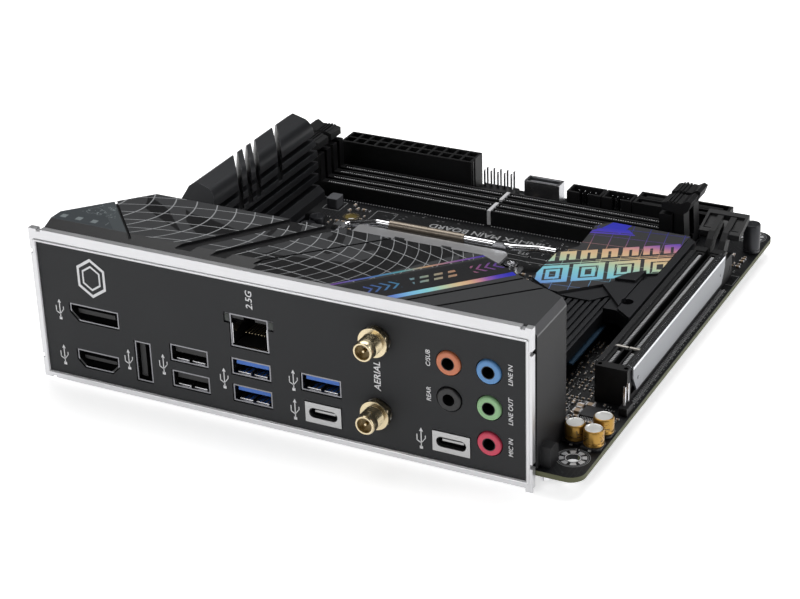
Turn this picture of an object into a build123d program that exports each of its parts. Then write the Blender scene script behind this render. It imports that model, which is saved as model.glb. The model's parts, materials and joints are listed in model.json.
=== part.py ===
"""Mini-ITX motherboard as an assembly of separate pieces.

Millimetres. X runs along the rear port panel, +Y from the panel towards the memory slots, +Z up.
The origin is the centre of the board's top face, so parts on the board start at z = 0.
"""
import os
from build123d import *

os.makedirs("parts", exist_ok=True)

# ---------------------------------------------------------------- driving dimensions
BOARD = 170.0                    # mini-ITX side
BOARD_T = 1.6                    # board thickness
BOARD_CORNER_R = 4.5
MOUNT_HOLE_R = 1.98
MOUNT_HOLES = [(78.83, -74.84), (78.83, 80.1), (-78.65, 80.1), (-78.65, -51.98)]
SOCKET_X, SOCKET_Y = -13.3, 3.1  # processor socket centre
COOLER_PITCH = 78.0
COOLER_HOLE_R = 2.1

PLATE_Y = -86.8                  # outer face of the port plate
PLATE_T = 1.0
PLATE_X = (-87.2, 70.0)
PLATE_Z = (-2.7, 40.2)
RIM_X = (-89.5, 72.0)
RIM_Z = (-5.0, 44.5)
PORT_BACK_GAP = 0.3              # how far a port shell sits behind the plate's face
SHELL_GAP = 0.25                 # clearance between a port shell and the plate's opening
SHELL_T = 0.4

COVER_TOP = 43.0
COVER_T = 1.6
COVER_OUTLINE = [(-89.3, -84.6), (-89.3, -71.0), (-69.3, -48.8), (40.0, -48.5), (57.0, -57.5),
                 (72.3, -64.5), (72.3, -84.6)]

DIMM_Y = {"near": 57.95, "far": 67.25}
DIMM_W = 7.4
DIMM_TOP = 5.3
DIMM_KEY_X = -5.6
DIMM_BODY_X = (-70.3, 55.4)
DIMM_POST_W = 4.2
DIMM_POST_TOP = 15.4
LATCH_W = 5.0
LATCH_PIVOT_Z = 3.0
LATCH_PIN_R = 0.9
HINGE_GAP = 0.05                 # radial clearance of a hinge pin in its hole

PCIE_X = 77.2                    # centre line of the graphics slot
PCIE_W = 10.0
PCIE_TOP = 11.8
PCIE_Y = (-43.0, 42.0)

LEVER_R = 1.2                    # load lever wire
LEVER_X, LEVER_Z = SOCKET_X - 34.0, 3.4
LEVER_Y = SOCKET_Y + 26.4
PLATE_HINGE_X, PLATE_HINGE_Z = SOCKET_X - 30.5, 4.6

HEATSINK_Y = (-30.0, 41.5)
FAN_HEADER_Y = 49.0
M2_TOP = 12.2


# ---------------------------------------------------------------- helpers
def block(x, y, z, mode=Mode.ADD):
    """A box from its ranges along X, Y and Z, in the block that is open."""
    with Locations(((x[0] + x[1]) / 2, (y[0] + y[1]) / 2, (z[0] + z[1]) / 2)):
        Box(x[1] - x[0], y[1] - y[0], z[1] - z[0], mode=mode)


def prism_z(points, z, mode=Mode.ADD):
    """An outline in plan, standing between two heights."""
    with BuildSketch(Plane.XY.offset(z[0])) as outline:
        with BuildLine():
            Polyline(*points, close=True)
        make_face()
    extrude(outline.sketch, amount=z[1] - z[0], mode=mode)


def prism_y(points, y, mode=Mode.ADD):
    """An (x, z) outline running from y[0] to y[1]."""
    with BuildSketch(Plane.XZ.offset(-y[0])) as outline:
        with BuildLine():
            Polyline(*points, close=True)
        make_face()
    extrude(outline.sketch, amount=-(y[1] - y[0]), mode=mode)


def prism_x(points, x, mode=Mode.ADD):
    """A (y, z) outline running from x[0] to x[1]."""
    with BuildSketch(Plane.YZ.offset(x[0])) as outline:
        with BuildLine():
            Polyline(*points, close=True)
        make_face()
    extrude(outline.sketch, amount=x[1] - x[0], mode=mode)


def rod(centre, radius, length, direction, mode=Mode.ADD):
    """A cylinder that starts at a point and runs along a direction."""
    with BuildSketch(Plane(origin=centre, z_dir=direction)) as section:
        Circle(radius)
    extrude(section.sketch, amount=length, mode=mode)


def around(centre, half):
    """The range that is centred on a value."""
    return (centre - half, centre + half)


def keep(piece, name):
    """Label a finished piece and write its file."""
    piece.part.label = name
    export_step(piece.part, f"parts/{name}.step")


# ---------------------------------------------------------------- circuit board
with BuildPart() as circuit_board:
    with BuildSketch(Plane.XY.offset(-BOARD_T)):
        RectangleRounded(BOARD, BOARD, BOARD_CORNER_R)
        with Locations(*MOUNT_HOLES):
            Circle(MOUNT_HOLE_R, mode=Mode.SUBTRACT)
        with Locations((SOCKET_X, SOCKET_Y)):
            with GridLocations(COOLER_PITCH, COOLER_PITCH, 2, 2):
                Circle(COOLER_HOLE_R, mode=Mode.SUBTRACT)
    extrude(amount=BOARD_T)
keep(circuit_board, "circuit_board")

# ---------------------------------------------------------------- rear port openings, x and z ranges
PORTS = {
    "display": ((-78.0, -60.5), (16.0, 22.0)),
    "video": ((-77.0, -61.8), (0.5, 6.8)),
    "usb_upright": ((-56.0, -50.0), (0.3, 14.0)),
    "usb2_high": ((-43.5, -30.3), (9.7, 15.6)),
    "usb2_low": ((-43.5, -30.3), (1.1, 7.0)),
    "lan": ((-22.3, -9.3), (19.0, 30.0)),
    "usb3_high": ((-22.7, -9.3), (9.8, 15.6)),
    "usb3_low": ((-22.7, -9.3), (1.0, 6.9)),
    "usb3_single": ((0.2, 13.5), (9.7, 15.6)),
    "usb_c_left": ((1.2, 13.3), (-0.2, 6.8)),
    "usb_c_right": ((41.5, 53.5), (0.0, 6.9)),
}
LAN_LAMPS = ((-24.0, -7.6), (26.6, 30.0))
PORT_CHAMFER = {"display": 3.0, "video": 2.6}
ANTENNAS = [(25.3, 31.5), (25.0, 8.5)]
ANTENNA_HOLE_R = 4.2
JACKS = {
    "orange": (47.2, 28.8),
    "black": (47.2, 17.6),
    "blue": (59.2, 28.8),
    "green": (59.2, 17.6),
    "red": (59.2, 6.4),
}
JACK_RING_R = 3.65
JACK_BORE_R = 1.8
JACK_APERTURE_R = 3.95


def port_outline(port, inset):
    """The corners of a port opening, with its lower corners cut where the plug is keyed."""
    (x0, x1), (z0, z1) = PORTS[port]
    x0, x1, z0, z1 = x0 + inset, x1 - inset, z0 + inset, z1 - inset
    cut = PORT_CHAMFER.get(port, 0)
    if port == "video":
        return [(x0 + cut, z0), (x1 - cut, z0), (x1, z0 + cut), (x1, z1), (x0, z1), (x0, z0 + cut)]
    if cut:
        return [(x0 + cut, z0), (x1, z0), (x1, z1), (x0, z1), (x0, z0 + cut)]
    return [(x0, z0), (x1, z0), (x1, z1), (x0, z1)]


plate_back = PLATE_Y + PLATE_T
through = (PLATE_Y - 1, plate_back + 1)

with BuildPart() as io_plate:
    block(PLATE_X, (PLATE_Y, plate_back), PLATE_Z)
    for port in PORTS:
        prism_y(port_outline(port, 0), through, mode=Mode.SUBTRACT)
    block(LAN_LAMPS[0], through, LAN_LAMPS[1], mode=Mode.SUBTRACT)
    for x, z in ANTENNAS:
        rod((x, through[0], z), ANTENNA_HOLE_R, 4, (0, 1, 0), mode=Mode.SUBTRACT)
    for x, z in JACKS.values():
        rod((x, through[0], z), JACK_APERTURE_R, 4, (0, 1, 0), mode=Mode.SUBTRACT)
keep(io_plate, "io_plate")

# ---------------------------------------------------------------- folded rim round the plate
RIM_T = 0.8
RIM_FLANGE = 2.0                 # depth of the flange that turns back
BEAD_R = 0.45
NOTCH = 1.4
inner_x = (PLATE_X[0] - 0.1, PLATE_X[1] + 0.1)
inner_z = (PLATE_Z[0] - 0.1, PLATE_Z[1] + 0.1)
rim_front = PLATE_Y - 0.35
bead_x = around(sum(inner_x) / 2, (inner_x[1] - inner_x[0]) / 2 + BEAD_R + 0.1)
bead_z = around(sum(inner_z) / 2, (inner_z[1] - inner_z[0]) / 2 + BEAD_R + 0.1)

with BuildPart() as io_plate_rim:
    block(RIM_X, (rim_front, rim_front + RIM_FLANGE), RIM_Z)
    block((RIM_X[0] + RIM_T, RIM_X[1] - RIM_T), (rim_front + RIM_T, rim_front + RIM_FLANGE + 1),
          (RIM_Z[0] + RIM_T, RIM_Z[1] - RIM_T), mode=Mode.SUBTRACT)
    block(inner_x, (rim_front - 1, rim_front + RIM_FLANGE + 1), inner_z, mode=Mode.SUBTRACT)
    for z in bead_z:
        rod((bead_x[0], rim_front, z), BEAD_R, bead_x[1] - bead_x[0], (1, 0, 0))
    for x in bead_x:
        rod((x, rim_front, bead_z[0]), BEAD_R, bead_z[1] - bead_z[0], (0, 0, 1))
    for x, z in [(-86.0, RIM_Z[1]), (-86.0, RIM_Z[0]), (69.3, RIM_Z[1]),
                 (RIM_X[0], 37.0), (RIM_X[0], 2.0), (RIM_X[1], 37.0), (RIM_X[1], 2.0)]:
        block(around(x, NOTCH / 2), (rim_front - 1, rim_front + RIM_FLANGE + 1), around(z, NOTCH / 2),
              mode=Mode.SUBTRACT)
    block((69.9, RIM_X[1]), (rim_front, rim_front + RIM_T), (RIM_Z[0] - 1.2, RIM_Z[0]))
keep(io_plate_rim, "io_plate_rim")

# ---------------------------------------------------------------- shroud over the ports
GROOVE_DEPTH = 0.9
BEVEL_X = (-89.3, -16.0)
wide_grooves = [((-45, -82), (-18, -46)), ((-33, -82), (-6, -46))]
narrow_grooves = [((-18, -78), (14, -46)), ((-79.5, -56.5), (-60, -78)),
                  ((31, -84), (61, -53)), ((40, -84), (68.5, -56.5))]

with BuildPart() as io_cover:
    prism_z(COVER_OUTLINE, (0.4, COVER_TOP))
    # Inside is open to the board, leaving the top, a full right wall and a skirt elsewhere.
    with BuildSketch(Plane.XY.offset(0.4)):
        with BuildLine():
            Polyline(*COVER_OUTLINE, close=True)
        make_face()
        offset(amount=-COVER_T, kind=Kind.INTERSECTION)
    extrude(amount=COVER_TOP - COVER_T - 0.4 - GROOVE_DEPTH, mode=Mode.SUBTRACT)
    # The skirt is short along the board's side and over the power stages.
    block((-95, 40), (-68, -40), (0, 27), mode=Mode.SUBTRACT)
    block((-95, -60), (-85.2, -66), (0, 20), mode=Mode.SUBTRACT)
    block((40, 58), (-60, -40), (0, 14), mode=Mode.SUBTRACT)
    # The front wall is open behind the plate.
    block((PLATE_X[0], PLATE_X[1] + 0.4), (-86, -82.5), (0, 39.5), mode=Mode.SUBTRACT)
    # A bevel runs along the front of the left half.
    prism_x([(-84.7, 39.3), (-76.0, COVER_TOP), (-76.0, COVER_TOP + 1), (-84.7, COVER_TOP + 1)],
            BEVEL_X, mode=Mode.SUBTRACT)
    for width, lines in ((4.2, wide_grooves), (0.8, narrow_grooves)):
        for start, end in lines:
            with BuildSketch(Plane.XY.offset(COVER_TOP - GROOVE_DEPTH)):
                with BuildLine() as path:
                    Line(start, end)
                trace(path.line, line_width=width)
            extrude(amount=2, mode=Mode.SUBTRACT)
    # A light chamfer along the top of the right wall.
    right_edge = io_cover.edges().filter_by(Axis.Y).group_by(Axis.X)[-1].sort_by(Axis.Z)[-1]
    chamfer(right_edge, 1.6)
    # The foot beside the corner hole that its screw pulls down.
    prism_x([(-82.4, 0.0), (-77.0, 0.0), (-77.0, 5.0), (-78.6, 6.2), (-82.4, 6.2)], (72.0, 75.4))
    for x in (13.0, 28.0):
        block(around(x, 1.5), (-48.6, -47.4), (41.0, COVER_TOP))
keep(io_cover, "io_cover")

# ---------------------------------------------------------------- port sockets
SOCKET_DEPTH = 17.0
shell_front = PLATE_Y + PORT_BACK_GAP


def shell(port, depth):
    """A folded steel port shell, open at the front and closed behind."""
    outer = port_outline(port, SHELL_GAP)
    inner = port_outline(port, SHELL_GAP + SHELL_T)
    prism_y(outer, (shell_front, shell_front + depth))
    prism_y(inner, (shell_front - 1, shell_front + depth - SHELL_T), mode=Mode.SUBTRACT)


def tongue(port, thickness, drop, depth, side=0.7):
    """The contact tongue in a port, hanging below the top of its shell."""
    (x0, x1), (z0, z1) = PORTS[port]
    top = z1 - SHELL_GAP - SHELL_T - drop
    block((x0 + SHELL_GAP + SHELL_T + side, x1 - SHELL_GAP - SHELL_T - side),
          (shell_front + 1.2, shell_front + depth - SHELL_T / 2), (top - thickness, top))


with BuildPart() as display_socket:
    shell("display", SOCKET_DEPTH)
    tongue("display", 1.4, 1.6, SOCKET_DEPTH, side=1.6)
    block((-77.0, -61.5), (shell_front + 13.0, shell_front + SOCKET_DEPTH), (0.0, 16.5))
keep(display_socket, "display_socket")

with BuildPart() as video_socket:
    shell("video", 12.5)
    tongue("video", 1.1, 2.0, 12.5, side=1.2)
    block((-74.6, -64.2), (shell_front + 3, shell_front + 12), (0.0, 0.8))
keep(video_socket, "video_socket")

with BuildPart() as usb2_sockets:
    for port in ("usb_upright", "usb2_high", "usb2_low"):
        shell(port, SOCKET_DEPTH)
    for port in ("usb2_high", "usb2_low"):
        tongue(port, 1.9, 0.5, SOCKET_DEPTH)
    upright = PORTS["usb_upright"]
    block((upright[0][0] + 1.2, upright[0][0] + 3.1), (shell_front + 1.2, shell_front + SOCKET_DEPTH - 0.2),
          (upright[1][0] + 1.4, upright[1][1] - 1.4))
    block((-43.2, -30.6), (shell_front + 1.0, shell_front + SOCKET_DEPTH), (6.7, 10.0))
    block((-43.2, -30.6), (shell_front + 4.0, shell_front + SOCKET_DEPTH), (0.0, 1.4))
    block((-55.7, -50.3), (shell_front + 4.0, shell_front + SOCKET_DEPTH), (0.0, 0.6))
keep(usb2_sockets, "usb2_sockets")

LAN_BODY_X = (-24.2, -7.4)
LAN_DEPTH = 21.0
with BuildPart() as lan_usb_stack:
    block(LAN_BODY_X, (plate_back + 0.1, shell_front + LAN_DEPTH), (0.0, 31.2))
    for port in ("lan", "usb3_high", "usb3_low"):
        prism_y(port_outline(port, SHELL_GAP), (shell_front, plate_back + 0.2))
        prism_y(port_outline(port, SHELL_GAP + SHELL_T), (shell_front - 1, shell_front + 13.5),
                mode=Mode.SUBTRACT)
    for x in around(sum(LAN_LAMPS[0]) / 2, 7.2):
        block(around(x, 0.9), (plate_back - 0.6, plate_back + 0.2), (27.0, 29.6))
    # The small step at the top of the jack that the plug's latch clicks behind.
    for x in (-21.5, -13.9):
        block((x, x + 3.8), (shell_front + 0.4, shell_front + 6), (28.2, 29.5))
keep(lan_usb_stack, "lan_usb_stack")

with BuildPart() as usb_c_stack:
    shell("usb3_single", SOCKET_DEPTH)
    block((0.6, 13.1), (shell_front + 1.5, shell_front + SOCKET_DEPTH), (6.6, 10.0))
keep(usb_c_stack, "usb_c_stack")

with BuildPart() as usb_blue_tongues:
    for port in ("usb3_high", "usb3_low", "usb3_single"):
        (x0, x1), (z0, z1) = PORTS[port]
        back = 16.5 if port == "usb3_single" else 13.4
        block((x0 + 1.35, x1 - 1.35), (shell_front + 1.0, shell_front + back), (z1 - 2.5, z1 - 1.2))
keep(usb_blue_tongues, "usb_blue_tongues")

USB_C_R = 1.6
with BuildPart() as usb_c_sockets:
    for port in ("usb_c_left", "usb_c_right"):
        (x0, x1), (z0, z1) = PORTS[port]
        cx, cz = (x0 + x1) / 2, (z0 + z1) / 2
        low = 0.02 if z0 < 0 else z0 + SHELL_GAP
        block((x0 + SHELL_GAP, x1 - SHELL_GAP), (shell_front - 0.5, plate_back), (z0 + SHELL_GAP, z1 - SHELL_GAP))
        block((x0 + 1.2, x1 - 1.2), (plate_back, shell_front + 11), (low, z1 - 0.9))
        with BuildSketch(Plane(origin=(cx, shell_front - 0.6, cz), x_dir=(1, 0, 0), z_dir=(0, -1, 0))):
            SlotOverall(9.2, 2 * USB_C_R)
        extrude(amount=-8.5, mode=Mode.SUBTRACT)
        block(around(cx, 3.3), (shell_front + 0.8, shell_front + 9), around(cz, 0.35))
keep(usb_c_sockets, "usb_c_sockets")

# ---------------------------------------------------------------- antennas and audio
THREAD_R = 3.1
BARREL_TIP = -95.6
with BuildPart() as antenna_sockets:
    for x, z in ANTENNAS:
        rod((x, BARREL_TIP, z), THREAD_R, plate_back - 0.1 - BARREL_TIP, (0, 1, 0))
        rod((x, BARREL_TIP - 0.1, z), 2.2, 6.5, (0, 1, 0), mode=Mode.SUBTRACT)
        rod((x, BARREL_TIP + 0.3, z), 0.6, 7.0, (0, 1, 0))
        with BuildSketch(Plane(origin=(x, PLATE_Y - 0.05, z), z_dir=(0, -1, 0))):
            RegularPolygon(4.6, 6)
            Circle(THREAD_R - 0.1, mode=Mode.SUBTRACT)
        extrude(amount=2.3)
        with BuildSketch(Plane(origin=(x, PLATE_Y - 2.3, z), z_dir=(0, -1, 0))):
            Circle(4.5)
            Circle(THREAD_R - 0.1, mode=Mode.SUBTRACT)
        extrude(amount=0.5)
keep(antenna_sockets, "antenna_sockets")

with BuildPart() as wireless_module:
    block((18.4, 31.8), (plate_back + 0.05, -60.0), (0.0, 36.5))
    fillet(wireless_module.edges().filter_by(Axis.Y), 0.8)
keep(wireless_module, "wireless_module")

JACK_FRONT = PLATE_Y - 0.7
with BuildPart() as audio_jack_block:
    block((41.7, 64.8), (plate_back + 0.1, -72.0), (12.0, 33.9))
    block((54.2, 64.8), (plate_back + 0.1, -72.0), (0.0, 12.0))
    for x, z in JACKS.values():
        rod((x, plate_back - 1, z), JACK_RING_R, 16, (0, 1, 0), mode=Mode.SUBTRACT)
keep(audio_jack_block, "audio_jack_block")

for colour, (x, z) in JACKS.items():
    with BuildPart() as jack_ring:
        rod((x, JACK_FRONT, z), JACK_RING_R, plate_back + 12 - JACK_FRONT, (0, 1, 0))
        fillet(jack_ring.faces().sort_by(Axis.Y)[0].edges(), 0.7)
        rod((x, JACK_FRONT - 1, z), JACK_BORE_R, 13, (0, 1, 0), mode=Mode.SUBTRACT)
    keep(jack_ring, f"jack_ring_{colour}")

# ---------------------------------------------------------------- processor socket
BODY_HALF = (26.0, 22.5)
WINDOW_HALF = (19.2, 15.8)
CONTACT_HALF = (22.6, 18.9)
CATCH_X = SOCKET_X + 30.2

with BuildPart() as cpu_socket:
    block(around(SOCKET_X, BODY_HALF[0]), around(SOCKET_Y, BODY_HALF[1]), (0.0, 3.9))
    block(around(SOCKET_X, CONTACT_HALF[0]), around(SOCKET_Y, CONTACT_HALF[1]), (1.6, 5), mode=Mode.SUBTRACT)
    fillet(cpu_socket.edges().filter_by(Axis.Z).group_by(Axis.X)[-1], 1.5)
keep(cpu_socket, "cpu_socket")

with BuildPart() as socket_contacts:
    block(around(SOCKET_X, CONTACT_HALF[0] - 0.1), around(SOCKET_Y, CONTACT_HALF[1] - 0.1), (1.6, 2.3))
    block(around(SOCKET_X, 6.5), around(SOCKET_Y, 5.0), (1.5, 2.4), mode=Mode.SUBTRACT)
    with Locations((SOCKET_X, SOCKET_Y, 0)):
        with Locations((0, 11.9, 2.45), (0, -11.9, 2.45)):
            Box(42.0, 12.4, 0.5)
        with Locations((14.2, 0, 2.45), (-14.2, 0, 2.45)):
            Box(13.6, 10.6, 0.5)
keep(socket_contacts, "socket_contacts")

FRAME_HALF = (33.0, 25.0)
FRAME_T = 1.2
SCREWS = [(sx * 28.9, sy * 22.0) for sx in (-1, 1) for sy in (-1, 1)]
with BuildPart() as socket_frame:
    block(around(SOCKET_X, FRAME_HALF[0]), around(SOCKET_Y, FRAME_HALF[1]), (0.05, FRAME_T))
    fillet(socket_frame.edges().filter_by(Axis.Z), 3.0)
    block(around(SOCKET_X, BODY_HALF[0] + 0.3), around(SOCKET_Y, BODY_HALF[1] + 0.3), (-1, 3), mode=Mode.SUBTRACT)
    # Ears hold the lever's shaft at the left; the catch and its side tab are at the right.
    for y in (SOCKET_Y - 21.5, SOCKET_Y + 21.5):
        block((LEVER_X - 2.4, SOCKET_X - 32.5), around(y, 1.5), (0.05, FRAME_T))
        prism_y([(LEVER_X - 2.4, 0.05), (LEVER_X + 2.2, 0.05), (LEVER_X + 2.2, LEVER_Z + 1.6),
                 (LEVER_X + 1.0, LEVER_Z + 2.4), (LEVER_X - 1.4, LEVER_Z + 2.4), (LEVER_X - 2.4, LEVER_Z + 1.2)],
                (y - 1.5, y + 1.5))
        rod((LEVER_X, y - 2, LEVER_Z), LEVER_R + HINGE_GAP, 4, (0, 1, 0), mode=Mode.SUBTRACT)
        block((PLATE_HINGE_X - 1.4, PLATE_HINGE_X + 1.4), around(y - 4.0 * (1 if y > SOCKET_Y else -1), 0.8),
              (0.05, PLATE_HINGE_Z + 1.5))
        rod((PLATE_HINGE_X, y - 6, PLATE_HINGE_Z), 0.8 + HINGE_GAP, 12, (0, 1, 0), mode=Mode.SUBTRACT)
    block((CATCH_X, CATCH_X + 1.0), around(SOCKET_Y, 5.0), (0.05, 6.4))
    block((CATCH_X - 1.4, CATCH_X + 1.0), around(SOCKET_Y, 5.0), (7.3, 8.0))
    block((CATCH_X, CATCH_X + 1.0), around(SOCKET_Y, 1.6), (6.3, 7.4))
    block((8.0, 12.8), (SOCKET_Y + 24.0, SOCKET_Y + 24.8), (0.05, 7.4))
    block((8.8, 12.0), (SOCKET_Y + 24.0, SOCKET_Y + 25.0), (7.2, 8.0))
    for dx, dy in SCREWS:
        rod((SOCKET_X + dx, SOCKET_Y + dy, -1), 1.9, 3, (0, 0, 1), mode=Mode.SUBTRACT)
keep(socket_frame, "socket_frame")

with BuildPart() as socket_screws:
    for dx, dy in SCREWS:
        x, y = SOCKET_X + dx, SOCKET_Y + dy
        rod((x, y, FRAME_T + 0.02), 2.6, 1.7, (0, 0, 1))
        rod((x, y, 0.02), 1.6, FRAME_T + 0.1, (0, 0, 1))
        with BuildSketch(Plane.XY.offset(FRAME_T + 0.8)):
            with Locations((x, y)):
                RegularPolygon(1.4, 6)
        extrude(amount=2, mode=Mode.SUBTRACT)
keep(socket_screws, "socket_screws")

LOAD_HALF = (28.2, 23.0)
LOAD_Z = (5.2, 6.1)
with BuildPart() as load_plate:
    block((SOCKET_X - 27.0, SOCKET_X + LOAD_HALF[0]), around(SOCKET_Y, LOAD_HALF[1]), LOAD_Z)
    fillet(load_plate.edges().filter_by(Axis.Z).group_by(Axis.X)[-1], 3.0)
    block(around(SOCKET_X, WINDOW_HALF[0]), around(SOCKET_Y, WINDOW_HALF[1]), (0, 9), mode=Mode.SUBTRACT)
    # Stiffening flanges turned down along both sides, and the tongue at the front.
    for sign in (-1, 1):
        y = SOCKET_Y + sign * (LOAD_HALF[1] - 0.35)
        block((SOCKET_X - 22.0, SOCKET_X + 20.0), around(y, 0.35), (4.4, LOAD_Z[0] + 0.1))
    block((SOCKET_X + LOAD_HALF[0] - 1, CATCH_X - 0.4), around(SOCKET_Y, 4.2), LOAD_Z)
    # The rear edge curls round the hinge pin.
    block((PLATE_HINGE_X, SOCKET_X - 26.5), around(SOCKET_Y, 15.9), (PLATE_HINGE_Z + 0.2, LOAD_Z[1]))
    rod((PLATE_HINGE_X, SOCKET_Y - 15.9, PLATE_HINGE_Z), 1.5, 31.8, (0, 1, 0))
    rod((PLATE_HINGE_X, SOCKET_Y - 18.4, PLATE_HINGE_Z), 0.8, 36.8, (0, 1, 0))
keep(load_plate, "load_plate")

shaft_start = SOCKET_Y - 23.6
lever_height = 6.2
with BuildPart() as load_lever:
    # The shaft, the turn at its end, the long arm and the bent grip are one wire.
    with BuildLine() as lever_path:
        FilletPolyline((LEVER_X, shaft_start, LEVER_Z), (LEVER_X, LEVER_Y, LEVER_Z),
                       (LEVER_X + 12, LEVER_Y, lever_height), (14.0, LEVER_Y, lever_height),
                       (23.0, LEVER_Y + 2.4, lever_height), (28.6, LEVER_Y + 2.6, lever_height), radius=2.4)
    with BuildSketch(Plane(origin=(LEVER_X, shaft_start, LEVER_Z), z_dir=(0, 1, 0))):
        Circle(LEVER_R)
    sweep(path=lever_path.line)
keep(load_lever, "load_lever")

SLEEVE_X = (-30.5, -3.0)
with BuildPart() as lever_sleeve:
    rod((SLEEVE_X[0], LEVER_Y, lever_height), 1.6, SLEEVE_X[1] - SLEEVE_X[0], (1, 0, 0))
    rod((SLEEVE_X[0] - 1, LEVER_Y, lever_height), LEVER_R + 0.01, 32, (1, 0, 0), mode=Mode.SUBTRACT)
keep(lever_sleeve, "lever_sleeve")

with BuildPart() as socket_backplate:
    with BuildSketch(Plane.XY.offset(-BOARD_T - 0.05)):
        with Locations((SOCKET_X, SOCKET_Y)):
            RectangleRounded(72.0, 56.0, 6.0)
            Rectangle(34.0, 28.0, mode=Mode.SUBTRACT)
    extrude(amount=-1.6)
    with Locations((SOCKET_X, SOCKET_Y, -BOARD_T - 1.6)):
        with Locations(*SCREWS):
            Cylinder(2.4, 0.9, align=(Align.CENTER, Align.CENTER, Align.MAX))
keep(socket_backplate, "socket_backplate")

# ---------------------------------------------------------------- power stage
SLOT_X = -73.4                   # where the slanted slots' middles are given along Y
SLOT_Y = [3.5, 9.2, 14.6, 28.8]
SLOT_W = 2.7
SLOT_SLOPE = -1.35
FIN_Z = [28.6, 24.2, 19.8, 15.4, 11.0]
FIN_GAP = 2.0

with BuildPart() as vrm_heatsink:
    with BuildSketch(Plane.XZ.offset(-HEATSINK_Y[0])):
        with BuildLine():
            Polyline((-66.3, 35.5), (-71.0, 36.8), (-73.4, 35.2), (-84.0, 15.0), (-84.0, 5.2), (-62.0, 5.2),
                     (-62.0, 8.2), (-64.2, 10.2), (-63.7, 31.6))
            RadiusArc((-66.3, 35.5), (-63.7, 31.6), 4.2)
        make_face()
    extrude(amount=-(HEATSINK_Y[1] - HEATSINK_Y[0]))
    for z in FIN_Z:
        block((-68.4, -60.0), (-31, 45), around(z, FIN_GAP / 2), mode=Mode.SUBTRACT)
    for y in SLOT_Y:
        ends = [(x, y + SLOT_SLOPE * (x - SLOT_X)) for x in (-82, -60)]
        near_side = [(x, end_y - SLOT_W / 2) for x, end_y in ends]
        far_side = [(x, end_y + SLOT_W / 2) for x, end_y in reversed(ends)]
        prism_z(near_side + far_side, (22.0, 40), mode=Mode.SUBTRACT)
    # The near and far ends are cut at a slant.
    prism_x([(-31, 18), (-31, 40), (-23, 40)], (-90, -60), mode=Mode.SUBTRACT)
    prism_x([(42, 19), (42, 40), (38.2, 40), (38.2, 34)], (-90, -60), mode=Mode.SUBTRACT)
    # The second block stands under the shroud.
    block((-58.0, -1.0), (-62.0, -50.0), (5.2, 24.0))
    for x in range(-54, -4, 5):
        block(around(x, 1.0), (-63, -49), (12.0, 25), mode=Mode.SUBTRACT)
keep(vrm_heatsink, "vrm_heatsink")

with BuildPart() as power_chokes:
    for y in (-25, -13.5, -2, 9.5, 21, 32.5):
        block((-73.5, -66.8), around(y, 3.4), (0.0, 4.4))
    for x in range(-52, -4, 9):
        block(around(x, 3.3), (-61.0, -54.4), (0.0, 4.4))
    block((-63.8, -59.6), (45.5, 50.6), (0.0, 3.6))
    fillet(power_chokes.edges().filter_by(Axis.Z), 0.6)
keep(power_chokes, "power_chokes")

with BuildPart() as thermal_pads:
    block((-83.5, -63.0), (-29, 40.5), (4.45, 5.15))
    block((-56.0, -3.0), (-61.6, -50.4), (4.45, 5.15))
    block((57.0, 61.6), (-34.0, -7.0), (4.6, 5.3))
keep(thermal_pads, "thermal_pads")

with BuildPart() as board_chips:
    for y in (-25, -13.5, -2, 9.5, 21, 32.5):
        block((-80.5, -75.5), around(y, 2.6), (0.0, 0.9))
    block((71.8, 77.6), (-53.4, -47.8), (0.0, 0.9))
    block((41.0, 49.0), (-62.0, -54.5), (0.0, 1.0))
    block((-40.0, -32.0), (-52.0, -45.0), (0.0, 1.0))
    block((63.0, 68.5), (-58.5, -53.0), (0.0, 0.9))
keep(board_chips, "board_chips")

with BuildPart() as chipset:
    block((40.0, 63.0), (12.0, 35.0), (0.0, 1.4))
    block((46.0, 57.0), (18.0, 29.0), (1.4, 2.2))
keep(chipset, "chipset")


def cell_connector(x, y, height, columns, pitch, along):
    """A power socket: a block with a grid of square cells, two rows across."""
    block(x, y, (0.0, height))
    cx, cy = sum(x) / 2, sum(y) / 2
    counts = (columns, 2) if along == "x" else (2, columns)
    with Locations((cx, cy, height)):
        with GridLocations(pitch, pitch, *counts):
            Box(3.3, 3.3, 9.5, align=(Align.CENTER, Align.CENTER, Align.MAX), mode=Mode.SUBTRACT)


ATX_X, ATX_Y, ATX_TOP = (-72.4, -21.2), (73.6, 82.9), 12.9
EPS_X, EPS_Y = (-84.6, -75.3), (-49.6, -31.2)
CELL_PITCH = 4.2
with BuildPart() as atx_power_connector:
    cell_connector(ATX_X, ATX_Y, ATX_TOP, 12, CELL_PITCH, "x")
    # The ramp that the plug's clip snaps over, and the ribs on the end face.
    prism_x([(82.8, 7.0), (84.6, 8.4), (84.6, 9.4), (82.8, 9.4)], (-50.0, -43.6))
    for y in (74.4, 76.4):
        block((-21.3, -20.9), (y, y + 0.8), (0.0, ATX_TOP))
keep(atx_power_connector, "atx_power_connector")

with BuildPart() as cpu_power_connector:
    cell_connector(EPS_X, EPS_Y, ATX_TOP, 4, CELL_PITCH, "y")
    prism_y([(-75.4, 7.0), (-73.6, 8.4), (-73.6, 9.4), (-75.4, 9.4)], (-43.6, -37.2))
keep(cpu_power_connector, "cpu_power_connector")

with BuildPart() as power_pins:
    for x, y, counts in ((sum(ATX_X) / 2, sum(ATX_Y) / 2, (12, 2)), (sum(EPS_X) / 2, sum(EPS_Y) / 2, (2, 4))):
        with Locations((x, y, ATX_TOP - 9.5)):
            with GridLocations(CELL_PITCH, CELL_PITCH, *counts):
                Box(1.1, 1.1, 6.5, align=(Align.CENTER, Align.CENTER, Align.MIN))
keep(power_pins, "power_pins")

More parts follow.
